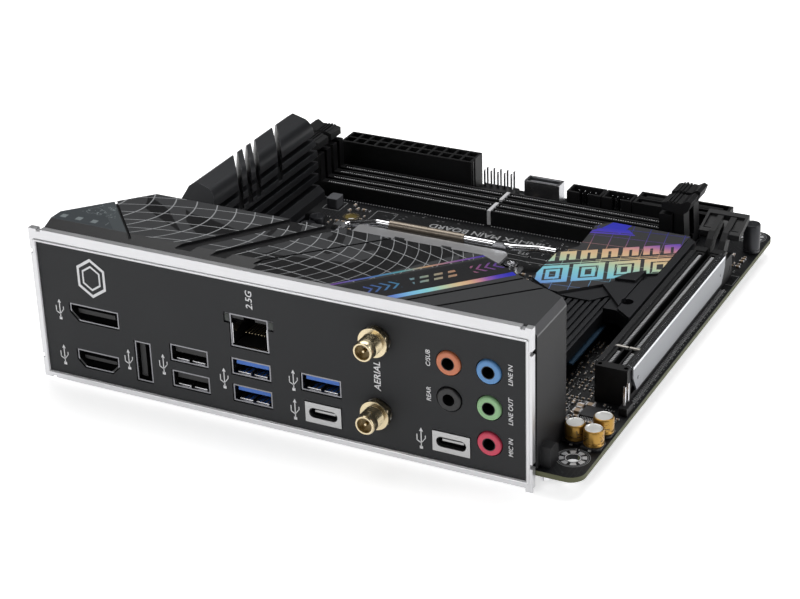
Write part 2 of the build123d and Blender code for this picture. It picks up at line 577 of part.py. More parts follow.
# ---------------------------------------------------------------- memory slots
key_half = 0.9
post_z = (0.0, DIMM_POST_TOP)
left_post = (DIMM_BODY_X[0] - DIMM_POST_W, DIMM_BODY_X[0] + 0.1)
right_post = (DIMM_BODY_X[1] - 0.1, DIMM_BODY_X[1] + DIMM_POST_W)
latch_pivots = {"left": left_post[0] - 2.2, "right": right_post[1] + 2.2}

for row, y in DIMM_Y.items():
    with BuildPart() as dimm_slot:
        block(DIMM_BODY_X, around(y, DIMM_W / 2), (0.0, DIMM_TOP))
        block((DIMM_BODY_X[0] - 3, DIMM_BODY_X[1] + 3), around(y, 0.75), (1.3, DIMM_TOP + 1), mode=Mode.SUBTRACT)
        for side in (-1, 1):
            block((DIMM_BODY_X[0] + 1.5, DIMM_BODY_X[1] - 1.5), around(y + side * 2.15, 0.75),
                  (DIMM_TOP - 1.1, DIMM_TOP + 1), mode=Mode.SUBTRACT)
        block(around(DIMM_KEY_X, key_half), around(y, DIMM_W / 2), (0.0, DIMM_TOP - 0.6))
        block(around(DIMM_KEY_X, 0.7), around(y, DIMM_W), (DIMM_TOP - 0.6, DIMM_TOP + 1), mode=Mode.SUBTRACT)
        for post, outer in ((left_post, -1), (right_post, 1)):
            block(post, around(y, DIMM_W / 2), post_z)
            # The channel that guides the module's edge down.
            block((min(post) - 1, max(post) + 1), around(y, 0.8), (3.0, DIMM_POST_TOP + 1), mode=Mode.SUBTRACT)
            # Two cheeks carry the latch's pin.
            pivot = latch_pivots["left" if outer < 0 else "right"]
            cheek = (pivot - 2.0, post[0] + 0.2) if outer < 0 else (post[1] - 0.2, pivot + 2.0)
            for cheek_y in (y - DIMM_W / 2, y + DIMM_W / 2 - 0.85):
                block(cheek, (cheek_y, cheek_y + 0.85), (0.0, 5.4))
            rod((pivot, y - 5, LATCH_PIVOT_Z), LATCH_PIN_R + HINGE_GAP, 10, (0, 1, 0), mode=Mode.SUBTRACT)
            block((min(cheek), max(cheek)), around(y, DIMM_W / 2), (0.0, 0.8))
    keep(dimm_slot, f"dimm_slot_{row}")

with BuildPart() as dimm_contacts:
    for y in DIMM_Y.values():
        for side in (-1, 1):
            for x in ((DIMM_BODY_X[0] + 2.0, DIMM_KEY_X - 1.6), (DIMM_KEY_X + 1.6, DIMM_BODY_X[1] - 2.0)):
                block(x, around(y + side * 2.15, 0.55), (DIMM_TOP - 1.1, DIMM_TOP - 0.35))
keep(dimm_contacts, "dimm_contacts")

with BuildPart() as dimm_key_clips:
    for y in DIMM_Y.values():
        block(around(DIMM_KEY_X, 0.6), around(y, DIMM_W / 2 - 0.3), (DIMM_TOP - 0.6, DIMM_TOP + 0.25))
    near_face = DIMM_Y["near"] - DIMM_W / 2
    block(around(DIMM_KEY_X, 0.6), (near_face - 0.35, near_face), (0.3, DIMM_TOP + 0.25))
    block(around(DIMM_KEY_X, 0.6), (near_face - 0.35, near_face + 0.4), (DIMM_TOP, DIMM_TOP + 0.25))
keep(dimm_key_clips, "dimm_key_clips")

THUMB_HALF = 3.6
# The latch's outlines, as distances outwards from its pin and heights.
LATCH_ARM = [(-1.6, 1.5), (1.7, 1.5), (2.0, 7.0), (1.4, 17.2), (-1.8, 17.2), (-1.8, 6.0)]
LATCH_NOSE = [(-1.7, 9.5), (-2.1, 9.5), (-2.1, 13.0), (-1.7, 13.5)]
LATCH_THUMB = [(-5.8, 17.0), (-1.8, 16.4), (1.4, 16.0), (3.2, 17.6), (4.2, 20.6), (3.0, 21.2), (1.0, 20.0),
               (-3.0, 20.4), (-5.8, 19.4)]
LATCH_RIBS = (-4.6, -3.4, -2.2, -1.0)
RIB_W = 0.5
RIB_Z = (19.8, 21.6)             # the ribs' grooves, from their floor to above the thumb piece


def outwards(points, pivot, side):
    """An outline that is given outwards from a latch's pin, in the board's own X."""
    return [(pivot + side * out, z) for out, z in points]


for row, y in DIMM_Y.items():
    for end, side in (("left", -1), ("right", 1)):
        pivot = latch_pivots[end]
        with BuildPart() as latch:
            prism_y(outwards(LATCH_ARM, pivot, side), around(y, LATCH_W / 2))
            # The nose grips the notch of a module.
            prism_y(outwards(LATCH_NOSE, pivot, side), around(y, 0.6))
            # The thumb piece reaches over the post and flares outwards.
            prism_y(outwards(LATCH_THUMB, pivot, side), around(y, THUMB_HALF))
            for rib in LATCH_RIBS:
                rib_x = sorted((pivot + side * rib, pivot + side * (rib + RIB_W)))
                block(rib_x, around(y, THUMB_HALF + 1), RIB_Z, mode=Mode.SUBTRACT)
            rod((pivot, y - DIMM_W / 2 + 0.1, LATCH_PIVOT_Z), LATCH_PIN_R, DIMM_W - 0.2, (0, 1, 0))
        keep(latch, f"dimm_latch_{row}_{end}")

# ---------------------------------------------------------------- graphics slot
shield_y = (PCIE_Y[0] + 3.0, PCIE_Y[1] - 2.0)
slot_x = around(PCIE_X, PCIE_W / 2)
PCIE_PIVOT = (46.2, 4.2)         # y and z of the latch's pin

with BuildPart() as pcie_slot:
    block(around(PCIE_X, PCIE_W / 2 - 1.3), (PCIE_Y[0], PCIE_Y[1]), (0.0, PCIE_TOP - 0.4))
    block(slot_x, (PCIE_Y[0], PCIE_Y[0] + 3.0), (0.0, PCIE_TOP))
    block(slot_x, (PCIE_Y[1] - 2.0, PCIE_Y[1] + 1.0), (0.0, PCIE_TOP))
    block(slot_x, (PCIE_Y[0], PCIE_Y[1]), (0.0, 2.6))
    block(around(PCIE_X, 0.95), (PCIE_Y[0] + 3.4, PCIE_Y[1] + 2.0), (2.6, PCIE_TOP + 1), mode=Mode.SUBTRACT)
    for side in (-1, 1):
        block(around(PCIE_X + side * 2.1, 0.75), (PCIE_Y[0] + 4.0, PCIE_Y[1] - 3.0),
              (PCIE_TOP - 1.8, PCIE_TOP + 1), mode=Mode.SUBTRACT)
        rod((PCIE_X + side * 4.0, PCIE_Y[0] + 1.5, PCIE_TOP + 0.1), 0.7, 1.6, (0, 0, -1), mode=Mode.SUBTRACT)
        # Cheeks at the far end carry the latch.
        block(sorted((PCIE_X + side * 3.6, PCIE_X + side * 5.0)), (PCIE_Y[1], 49.0), (0.0, 8.5))
    block(slot_x, (PCIE_Y[1], 49.0), (0.0, 1.2))
    block(around(PCIE_X, 0.95), (-29.9, -28.1), (2.6, PCIE_TOP - 0.6))
    rod((PCIE_X - 6, *PCIE_PIVOT), 1.0 + HINGE_GAP, 12, (1, 0, 0), mode=Mode.SUBTRACT)
keep(pcie_slot, "pcie_slot")

with BuildPart() as pcie_shield:
    for side in (-1, 1):
        outer = PCIE_X + side * (PCIE_W / 2 + 0.7)
        inner = PCIE_X + side * (PCIE_W / 2 + 0.1)
        rail = PCIE_X + side * (PCIE_W / 2 - 1.25)
        # Side sheet with slanted lower corners, and the rail folded over the slot's edge.
        prism_x([(shield_y[0] + 0.1, 11.0), (shield_y[0] + 0.1, 8.0), (shield_y[0] + 3.0, 3.0),
                 (shield_y[1] - 3.0, 3.0), (shield_y[1] - 0.1, 8.0), (shield_y[1] - 0.1, 11.0)],
                sorted((inner, outer)))
        block(sorted((rail, outer)), (shield_y[0] + 0.1, shield_y[1] - 0.1), (PCIE_TOP - 0.9, PCIE_TOP - 0.1))
        block(sorted((rail, rail + side * 0.7)), (shield_y[0] + 0.1, shield_y[1] - 0.1),
              (PCIE_TOP - 0.35, PCIE_TOP + 0.35))
        for y in (shield_y[0] + 4.0, shield_y[1] - 4.0):
            rod((outer - side * 0.25, y, 6.6), 0.55, 0.4, (side, 0, 0))
keep(pcie_shield, "pcie_shield")

with BuildPart() as pcie_contacts:
    for side in (-1, 1):
        for y in ((PCIE_Y[0] + 4.4, -30.6), (-27.4, PCIE_Y[1] - 3.4)):
            block(around(PCIE_X + side * 2.1, 0.55), y, (PCIE_TOP - 1.8, PCIE_TOP - 0.7))
keep(pcie_contacts, "pcie_contacts")

RIB_IN, RIB_OUT = 1.2, 3.2       # faces of the latch's two ribs, from the slot's centre line
WING_HALF = 6.8
WING_T, FRAME_T = 1.0, 1.9       # thickness of the sunken plate and of its raised frame
PADDLE_Y = (49.8, 60.0)
PADDLE_FOOT_Z = 12.4
PADDLE_SLOPE = 0.31              # rise of the thumb plate away from the slot


def paddle(x, y, thickness):
    """A slab that lies along the underside of the sloping thumb plate."""
    low, high = (PADDLE_FOOT_Z + PADDLE_SLOPE * (edge - PADDLE_Y[0]) for edge in y)
    prism_x([(y[0], low), (y[1], high), (y[1], high + thickness), (y[0], low + thickness)], x)


with BuildPart() as pcie_latch:
    py, pz = PCIE_PIVOT
    block(around(PCIE_X, RIB_OUT), (py - 1.9, py + 2.0), (2.4, 8.0))
    for side in (-1, 1):
        # A rib climbs from the pin to the thumb plate on either side of an open slot.
        prism_x([(py - 1.9, 2.4), (py + 2.0, 2.4), (py + 2.4, 8.0), (PADDLE_Y[0] + 1.6, 11.4),
                 (PADDLE_Y[1], 15.2), (PADDLE_Y[1], 17.0), (PADDLE_Y[0], 14.8), (py + 1.0, 12.8), (py - 1.9, 8.8)],
                sorted((PCIE_X + side * RIB_IN, PCIE_X + side * RIB_OUT)))
        # The wing: a sunken plate with a raised frame, and a step across its lower part.
        wing_x = sorted((PCIE_X + side * (RIB_OUT - 0.2), PCIE_X + side * WING_HALF))
        paddle(wing_x, PADDLE_Y, WING_T)
        paddle(sorted((PCIE_X + side * (WING_HALF - 0.9), PCIE_X + side * WING_HALF)), PADDLE_Y, FRAME_T)
        paddle(wing_x, (PADDLE_Y[0], PADDLE_Y[0] + 1.6), FRAME_T)
        paddle(wing_x, (PADDLE_Y[0] + 2.4, PADDLE_Y[0] + 3.0), FRAME_T - 0.4)
    paddle(around(PCIE_X, WING_HALF), (PADDLE_Y[1] - 1.8, PADDLE_Y[1]), FRAME_T)
    rod((PCIE_X - 4.9, py, pz), 1.0, 9.8, (1, 0, 0))
keep(pcie_latch, "pcie_latch")

# ---------------------------------------------------------------- drive heatsink
with BuildPart() as m2_heatsink:
    upper = [(33.4, 0.8), (41.7, -5.0), (55.0, -5.0), (60.6, 2.0), (60.6, -8.0), (65.0, -8.0), (70.9, -12.6),
             (70.9, 46.2), (68.4, 48.5), (41.2, 48.5), (37.0, 44.0), (37.4, 39.2), (38.0, 27.2), (33.4, 20.0)]
    prism_z(upper, (6.6, M2_TOP - 0.9))
    # A narrow chamfered strip beside the slot stays level with the panel.
    prism_z([(68.6, 46.0), (70.9, 44.6), (70.9, -12.6), (65.4, -8.2), (65.4, 12.0), (68.6, 16.0)],
            (M2_TOP - 1.0, M2_TOP))
    # The lower, ridged block runs on towards the ports.
    prism_z([(38.5, -47.0), (60.6, -47.0), (60.6, 6.0), (41.7, 6.0), (38.5, -2.0)], (6.0, 10.0))
    for x in range(10):
        left = 40.0 + 2.05 * x
        block((left, left + 1.2), (-46.5, 4.5), (9.9, 10.8))
    # Stepped ridge block over the joint, and the recess of the clamping screw.
    prism_z([(55.6, 4.6), (65.2, -6.8), (65.2, 13.6), (60.0, 11.4)], (10.0, 12.6))
    prism_z([(58.2, 8.0), (64.6, 9.0), (65.2, 16.8), (60.6, 12.6)], (10.0, 13.6))
    with Locations((66.6, -3.0, M2_TOP)):
        CounterBoreHole(radius=1.3, counter_bore_radius=1.9, counter_bore_depth=3.2, depth=12)
keep(m2_heatsink, "m2_heatsink")

with BuildPart() as m2_panel:
    prism_z([(33.6, 1.0), (41.9, -4.7), (44.6, -5.0), (55.0, 4.9), (59.6, 11.8), (65.0, 17.2), (68.3, 19.2),
             (68.3, 48.0), (41.4, 48.3), (37.3, 43.8), (37.7, 39.2), (38.3, 27.2), (33.6, 19.8)],
            (M2_TOP - 0.9, M2_TOP))
    prism_z([(54.9, 4.2), (65.3, -7.6), (65.3, 14.0), (65.5, 17.3), (60.4, 13.0), (58.0, 8.2)],
            (M2_TOP - 2, M2_TOP + 1), mode=Mode.SUBTRACT)
keep(m2_panel, "m2_panel")

with BuildPart() as m2_connector:
    block((38.6, 61.0), (-53.6, -48.0), (0.0, 4.2))
    block((39.6, 60.0), (-50.4, -47.5), (2.4, 3.3), mode=Mode.SUBTRACT)
keep(m2_connector, "m2_connector")

with BuildPart() as small_screws:
    # Cover screws come up from below the board; the clamp screw holds the drive heatsink.
    for x, y in ((74.2, -82.0), (-82.0, -82.0)):
        rod((x, y, -BOARD_T - 0.02), 1.9, 1.9, (0, 0, -1))
    rod((66.6, -3.0, 7.2), 1.25, 1.2, (0, 0, 1))
keep(small_screws, "small_screws")

# ---------------------------------------------------------------- headers along the far edge
def pin_grid(x, y, columns, rows, z, pitch=2.54, size=0.64):
    """Square header pins on a grid between two heights."""
    with Locations((x, y, z[0])):
        with GridLocations(pitch, pitch, columns, rows):
            Box(size, size, z[1] - z[0], align=(Align.CENTER, Align.CENTER, Align.MIN))


FRONT_PINS = (-12.6, 78.7)
JUMPER = (83.0, -45.7)
with BuildPart() as pin_bases:
    block(around(FRONT_PINS[0], 6.4), around(FRONT_PINS[1], 2.5), (0.0, 2.5))
    block(around(JUMPER[0], 1.27), around(JUMPER[1], 2.54), (0.0, 2.5))
keep(pin_bases, "pin_bases")

with BuildPart() as header_pins:
    pin_grid(*FRONT_PINS, 5, 2, (2.5, 9.2))
    pin_grid(*JUMPER, 1, 2, (2.5, 9.0))
    for x in (20.8, 32.7):
        pin_grid(x, 77.2, 4, 2, (1.2, 7.4), pitch=2.0, size=0.5)
    pin_grid(-81.4, FAN_HEADER_Y, 1, 4, (2.5, 9.0))
keep(header_pins, "header_pins")

with BuildPart() as front_usb_header:
    block((-2.5, 10.6), (77.0, 81.8), (0.0, 8.0))
    block((-1.7, 9.8), (77.8, 81.0), (2.0, 9.0), mode=Mode.SUBTRACT)
    block((-1.2, 9.3), (79.0, 79.8), (1.9, 7.2))
keep(front_usb_header, "front_usb_header")

with BuildPart() as boxed_headers:
    for x0, x1 in ((14.6, 27.0), (27.4, 38.0)):
        block((x0, x1), (74.0, 80.4), (0.0, 8.2))
        block((x0 + 0.8, x1 - 0.8), (74.8, 79.6), (1.2, 9.0), mode=Mode.SUBTRACT)
        block(around((x0 + x1) / 2, 1.8), (73.9, 75.0), (3.0, 9.0), mode=Mode.SUBTRACT)
keep(boxed_headers, "boxed_headers")

with BuildPart() as sata_connectors:
    for x0 in (38.4, 55.2):
        for y0 in (74.4, 79.4):
            block((x0, x0 + 15.6), (y0, y0 + 4.6), (0.0, 8.0))
            block((x0 + 1.0, x0 + 14.6), (y0 + 0.8, y0 + 3.8), (1.6, 9.0), mode=Mode.SUBTRACT)
            # The L-shaped blade in each socket.
            block((x0 + 2.4, x0 + 12.6), (y0 + 2.2, y0 + 3.2), (1.5, 7.4))
            block((x0 + 2.4, x0 + 3.4), (y0 + 1.3, y0 + 3.2), (1.5, 7.4))
keep(sata_connectors, "sata_connectors")

with BuildPart() as fan_headers:
    block(around(-81.4, 1.6), around(FAN_HEADER_Y, 5.1), (0.0, 2.5))
    block((-80.0, -79.0), around(FAN_HEADER_Y, 3.2), (0.0, 7.0))
keep(fan_headers, "fan_headers")

# ---------------------------------------------------------------- capacitors and coin cell
GOLD_CAPS = [(75.6, -65.6), (81.6, -66.7), (81.6, -59.2)]
with BuildPart() as gold_capacitors:
    for x, y in GOLD_CAPS:
        rod((x, y, 0.8), 3.0, 5.0, (0, 0, 1))
    fillet(gold_capacitors.edges().filter_by(GeomType.CIRCLE).group_by(Axis.Z)[-1], 0.5)
    for x, y in GOLD_CAPS:
        block(around(x, 2.9), around(y, 2.9), (0.0, 0.9))
keep(gold_capacitors, "gold_capacitors")

BLACK_CAPS = [(-57.4, 27.6, 2.8, 5.6), (-57.4, 20.9, 2.8, 5.6), (82.0, 69.6, 2.8, 10.0), (-57.4, 14.2, 2.8, 5.6)]
with BuildPart() as black_capacitors:
    for x, y, radius, height in BLACK_CAPS:
        rod((x, y, 0.0), radius, height, (0, 0, 1))
        rod((x, y, height + 0.1), radius - 0.5, 0.5, (0, 0, -1), mode=Mode.SUBTRACT)
keep(black_capacitors, "black_capacitors")

with BuildPart() as coin_cell:
    rod((34.4, -68.5, 12.0), 10.0, 3.2, (1, 0, 0))
    block((34.2, 37.8), (-73.5, -63.5), (0.0, 3.0))
keep(coin_cell, "coin_cell")
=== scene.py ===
"""Looks of the mini-ITX motherboard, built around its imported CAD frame.

Lengths are millimetres in the board's frame: X along the rear ports, +Y towards the memory slots, +Z out
of the board. MM turns them into Blender's metres.
"""
import json
import math
import random

import bmesh
import bpy
from mathutils import Matrix, Vector


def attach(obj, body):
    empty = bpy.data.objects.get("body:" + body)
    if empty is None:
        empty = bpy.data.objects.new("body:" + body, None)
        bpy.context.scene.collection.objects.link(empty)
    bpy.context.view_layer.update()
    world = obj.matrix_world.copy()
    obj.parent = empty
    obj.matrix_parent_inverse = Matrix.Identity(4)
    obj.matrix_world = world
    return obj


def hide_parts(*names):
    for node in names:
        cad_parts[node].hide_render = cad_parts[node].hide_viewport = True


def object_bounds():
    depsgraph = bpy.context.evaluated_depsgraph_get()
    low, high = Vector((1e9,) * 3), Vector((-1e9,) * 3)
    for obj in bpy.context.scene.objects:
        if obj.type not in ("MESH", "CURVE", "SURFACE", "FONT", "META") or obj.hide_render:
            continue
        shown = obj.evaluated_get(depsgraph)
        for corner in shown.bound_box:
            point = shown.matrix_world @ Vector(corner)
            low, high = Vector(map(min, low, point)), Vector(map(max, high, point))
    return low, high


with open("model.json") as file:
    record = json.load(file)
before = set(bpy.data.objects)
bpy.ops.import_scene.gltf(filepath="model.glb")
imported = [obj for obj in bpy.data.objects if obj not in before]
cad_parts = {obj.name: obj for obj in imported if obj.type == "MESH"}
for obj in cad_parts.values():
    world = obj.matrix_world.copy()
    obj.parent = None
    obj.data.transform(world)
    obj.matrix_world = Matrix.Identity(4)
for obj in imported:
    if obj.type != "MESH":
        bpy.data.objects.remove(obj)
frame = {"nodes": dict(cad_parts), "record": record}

cad_box = [list(corner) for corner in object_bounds()]
MM = 0.001
NODES = frame["nodes"]

# ------------------------------------------------------------------ places shared with the CAD part
PORTS = {
    "display": ((-78.0, -60.5), (16.0, 22.0)),
    "video": ((-77.0, -61.8), (0.5, 6.8)),
    "usb_upright": ((-56.0, -50.0), (0.3, 14.0)),
    "usb2_high": ((-43.5, -30.3), (9.7, 15.6)),
    "usb2_low": ((-43.5, -30.3), (1.1, 7.0)),
    "lan": ((-22.3, -9.3), (19.0, 30.0)),
    "usb3_high": ((-22.7, -9.3), (9.8, 15.6)),
    "usb3_low": ((-22.7, -9.3), (1.0, 6.9)),
    "usb3_single": ((0.2, 13.5), (9.7, 15.6)),
}
PLATE_Y = -86.8
ANTENNAS = [(25.3, 31.5), (25.0, 8.5)]
JACKS = [(47.2, 28.8), (47.2, 17.6), (59.2, 28.8), (59.2, 17.6), (59.2, 6.4)]
JACK_BORE_R = 2.0
SOCKET_X, SOCKET_Y = -13.3, 3.1
DIMM_ROWS = (57.95, 67.25)
DIMM_TOP = 5.3
DIMM_KEY_X = -5.6
PCIE_X = 77.2
PCIE_TOP = 11.8
COVER_TOP = 43.0
PANEL_TOP = 12.2
BOARD_HALF = 85.0
BOARD_T = 1.6
MOUNT_HOLES = [(78.83, -74.84), (78.83, 80.1), (-78.65, 80.1), (-78.65, -51.98)]
COOLER_HOLES = [(SOCKET_X + sx * 39.0, SOCKET_Y + sy * 39.0) for sx in (-1, 1) for sy in (-1, 1)]
GOLD_CAPS = [(75.6, -65.6), (81.6, -66.7), (81.6, -59.2)]
BLACK_CAPS = [(-57.4, 27.6, 5.6), (-57.4, 20.9, 5.6), (82.0, 69.6, 10.0), (-57.4, 14.2, 5.6)]
# Flat packages with legs, as x and y ranges.
PACKAGES = [(71.8, 77.6, -53.4, -47.8), (41, 49, -62, -54.5), (-40, -32, -52, -45), (63, 68.5, -58.5, -53)]


# ------------------------------------------------------------------ shader arithmetic
def node(tree, kind, inputs=None, **settings):
    """A shader node with its settings and inputs, which may be numbers, colours, sockets or Fields."""
    made = tree.nodes.new(kind)
    for key, value in settings.items():
        setattr(made, key, value)
    for key, value in (inputs or {}).items():
        value = getattr(value, "socket", value)
        if isinstance(value, bpy.types.NodeSocket):
            tree.links.new(value, made.inputs[key])
        else:
            made.inputs[key].default_value = value
    return made


class Field:
    """A varying shader value that takes ordinary arithmetic."""

    def __init__(self, socket):
        self.socket = socket
        self.tree = socket.id_data

    def math(self, operation, *others):
        inputs = dict(enumerate((self, *others)))
        return Field(node(self.tree, "ShaderNodeMath", inputs, operation=operation).outputs[0])

    def __add__(self, other):
        return self.math("ADD", other)

    def __sub__(self, other):
        return self.math("SUBTRACT", other)

    def __mul__(self, other):
        return self.math("MULTIPLY", other)

    def __truediv__(self, other):
        return self.math("DIVIDE", other)

    def __gt__(self, other):
        return self.math("GREATER_THAN", other)

    def __lt__(self, other):
        return self.math("LESS_THAN", other)

    def between(self, low, high):
        return (self > low) * (self < high)

    def inverse(self):
        return self * -1.0 + 1.0

    def either(self, other):
        return self.math("MAXIMUM", other)

    def clamped(self):
        return self.math("MAXIMUM", 0.0).math("MINIMUM", 1.0)

    def line(self, pitch, width):
        """1 along a line of that width at every pitch."""
        return ((self / pitch).math("FRACT") - 0.5).math("ABSOLUTE") > 0.5 - width / (2 * pitch)


class Place:
    """Where a shaded point is, in millimetres in the board's frame, and which way it faces."""

    def __init__(self, tree):
        self.tree = tree
        coords = node(tree, "ShaderNodeTexCoord")
        scaled = node(tree, "ShaderNodeVectorMath", {0: coords.outputs["Object"], 1: (1 / MM,) * 3},
                      operation="MULTIPLY")
        self.vector = scaled.outputs[0]
        self.x, self.y, self.z = self.split(self.vector)
        self.normal = node(tree, "ShaderNodeNewGeometry").outputs["Normal"]
        self.facing = self.split(coords.outputs["Normal"])

    def split(self, vector):
        return [Field(s) for s in node(self.tree, "ShaderNodeSeparateXYZ", {0: vector}).outputs]

    def noise(self, size, stretch=(1, 1, 1), detail=2.0):
        """Soft noise whose patches are about that many millimetres across, before stretching."""
        moved = node(self.tree, "ShaderNodeVectorMath", {0: self.vector, 1: tuple(1 / s for s in stretch)},
                     operation="MULTIPLY").outputs[0]
        made = node(self.tree, "ShaderNodeTexNoise", {"Vector": moved, "Scale": 1 / size, "Detail": detail})
        return Field(made.outputs[0])

    def cells(self, size):
        """Distance to the middle of the nearest of many scattered cells, as a share of their size."""
        made = node(self.tree, "ShaderNodeTexVoronoi", {"Vector": self.vector, "Scale": 1 / size})
        return Field(made.outputs["Distance"])

    def inside(self, *corners):
        """1 inside a convex outline in plan, its corners given counterclockwise."""
        mask = None
        for (x0, y0), (x1, y1) in zip(corners, corners[1:] + corners[:1]):
            side = (self.y - y0) * (x1 - x0) - (self.x - x0) * (y1 - y0) > 0.0
            mask = side if mask is None else mask * side
        return mask

    def ramp(self, value, low, high, stops):
        """Colours along a value, as (share of the way, colour) stops."""
        share = (value - low) / (high - low)
        made = node(self.tree, "ShaderNodeValToRGB", {0: share})
        elements = made.color_ramp.elements
        while len(elements) < len(stops):
            elements.new(0.5)
        for element, (position, colour) in zip(elements, stops):
            element.position = position
            element.color = (*rgb(colour), 1.0)
        return made.outputs[0]


def rgb(code):
    """A linear colour from an sRGB hex code. A colour that is linear already, or a socket, is passed on."""
    if not isinstance(code, str):
        return code
    channels = [int(code[i:i + 2], 16) / 255 for i in (0, 2, 4)]
    return tuple(c / 12.92 if c <= 0.04045 else ((c + 0.055) / 1.055) ** 2.4 for c in channels)


def mix(tree, share, first, second):
    """A colour between two colours, each a tuple or a socket."""
    first, second = ((*c, 1.0) if isinstance(c, tuple) else c for c in (first, second))
    return node(tree, "ShaderNodeMix", {0: share, 6: first, 7: second}, data_type="RGBA").outputs[2]


def material(name, colour, roughness, metallic=0.0, vary=0.12, patch=14.0, grain=0.3, depth=0.006,
             stretch=(1, 1, 1), edge=0.12, worn=0.25, worn_colour=(0.35, 0.35, 0.36), layers=None, **sockets):
    """A finish with drifting tone, fine grain and soft worn edges. layers(place) gives its other areas,
    printed marks and painted light and shade among them, as (mask, colour, metallic, roughness), the last two
    None where they stay."""
    made = bpy.data.materials.new(name)
    made.use_nodes = True
    tree = made.node_tree
    shader = tree.nodes["Principled BSDF"]
    place = Place(tree)
    colour = rgb(colour)
    drift = place.noise(patch)
    fine = place.noise(grain, stretch)
    tone = (drift * 0.6 + fine * 0.4)
    darker = tuple(c * (1 - vary) for c in colour)
    lighter = tuple(min(1.0, c * (1 + vary)) for c in colour)
    now = mix(tree, tone, darker, lighter)
    rough = (drift - 0.5) * 0.12 + (fine - 0.5) * 0.10 + roughness
    metal = None
    for mask, paint, paint_metal, paint_rough in (layers(place) if layers else []):
        now = mix(tree, mask, now, rgb(paint))
        if paint_metal is not None:
            metal = mask * (paint_metal - metallic) + metallic if metal is None else \
                metal * mask.inverse() + mask * paint_metal
        if paint_rough is not None:
            rough = rough * mask.inverse() + mask * paint_rough
    rounded = node(tree, "ShaderNodeBevel", {"Radius": edge * MM}, samples=4).outputs[0]
    if worn:
        bend = Field(node(tree, "ShaderNodeVectorMath", {0: rounded, 1: place.normal},
                          operation="DOT_PRODUCT").outputs["Value"]).inverse()
        wear = (bend * 9.0).clamped() * (fine * 1.4 + 0.1) * worn
        now = mix(tree, wear.clamped(), now, rgb(worn_colour))
    bump = node(tree, "ShaderNodeBump", {"Height": fine, "Distance": depth * MM, "Normal": rounded})
    tree.links.new(now, shader.inputs["Base Color"])
    tree.links.new(rough.clamped().socket, shader.inputs["Roughness"])
    tree.links.new(bump.outputs[0], shader.inputs["Normal"])
    if metal is None:
        shader.inputs["Metallic"].default_value = metallic
    else:
        tree.links.new(metal.socket, shader.inputs["Metallic"])
    for key, value in sockets.items():
        shader.inputs[key.replace("_", " ").title().replace("Ior", "IOR")].default_value = value
    return made


# ------------------------------------------------------------------ printed and painted areas
SPECTRUM = [(0.04, "6F8FE0"), (0.18, "85C8F0"), (0.31, "8FDBE3"), (0.43, "BFD9B8"),
            (0.55, "E6CB9D"), (0.65, "E5B592"), (0.72, "CF8F9C"), (0.78, "9A66B0"),
            (0.86, "5A45C0"), (0.96, "3538C0")]
BLACK = "0C0C0E"
BAND_RUN = (0.684, 0.729)        # the direction in plan of the slanted bands on the cover
THIN_BAND = (-53.8, -7.6)        # where the two colour bands start and end along it
THICK_BAND = (-42.0, -4.4)
MARKED = (-46.0, -5.0)           # and the marks on the label between them


def board_layers(place):
    """Laminate at the cut edges, buried copper and vias on the faces, and plating inside the cooler holes."""
    side = place.facing[2].math("ABSOLUTE") < 0.5
    near_edge = BOARD_HALF - 5.5
    outer = side * (place.x.math("ABSOLUTE") > near_edge).either(place.y.math("ABSOLUTE") > near_edge)
    copper = (place.x + place.y).line(1.9, 0.5) * (place.noise(9.0) > 0.52)
    copper = copper.either(place.x.line(1.3, 0.35) * (place.noise(13.0) > 0.56))
    vias = (place.cells(2.1) < 0.16) * (place.noise(7.0) > 0.45)
    cooler = side * place.inside(*[(SOCKET_X + sx * 46, SOCKET_Y + sy * 46)
                                   for sx, sy in ((-1, -1), (1, -1), (1, 1), (-1, 1))])
    return [(copper * side.inverse(), "17181B", None, 0.36),
            (vias * side.inverse(), "2E3033", None, 0.34),
            (outer, "56583F", None, 0.6),
            (cooler, "8A7A3C", None, 0.4)]


def port_layers(place):
    """Black moulded insides, in steel shells, with painted shade: the steel further than 1.5 mm behind the
    plate is painted black.
    """
    inset = 0.75
    inner = None
    for (x0, x1), (z0, z1) in PORTS.values():
        here = place.x.between(x0 + inset, x1 - inset) * place.z.between(z0 + inset, z1 - inset)
        inner = here if inner is None else inner.either(here)
    # Painted shade: port steel further than 1.5 mm behind the plate is painted black.
    painted_shade_depth = place.y > PLATE_Y + 1.5
    return [(inner.either(painted_shade_depth), BLACK, 0.0, 0.5)]


def jack_layers(place):
    """The bore behind each coloured ring is painted black: painted shade inside the hole."""
    bores = None
    for cx, cz in JACKS:
        x, z = place.x - cx, place.z - cz
        # Painted shade: everything inside the bore's radius is painted black.
        here = x * x + z * z < JACK_BORE_R * JACK_BORE_R
        bores = here if bores is None else bores.either(here)
    return [(bores, BLACK, None, 0.5)]


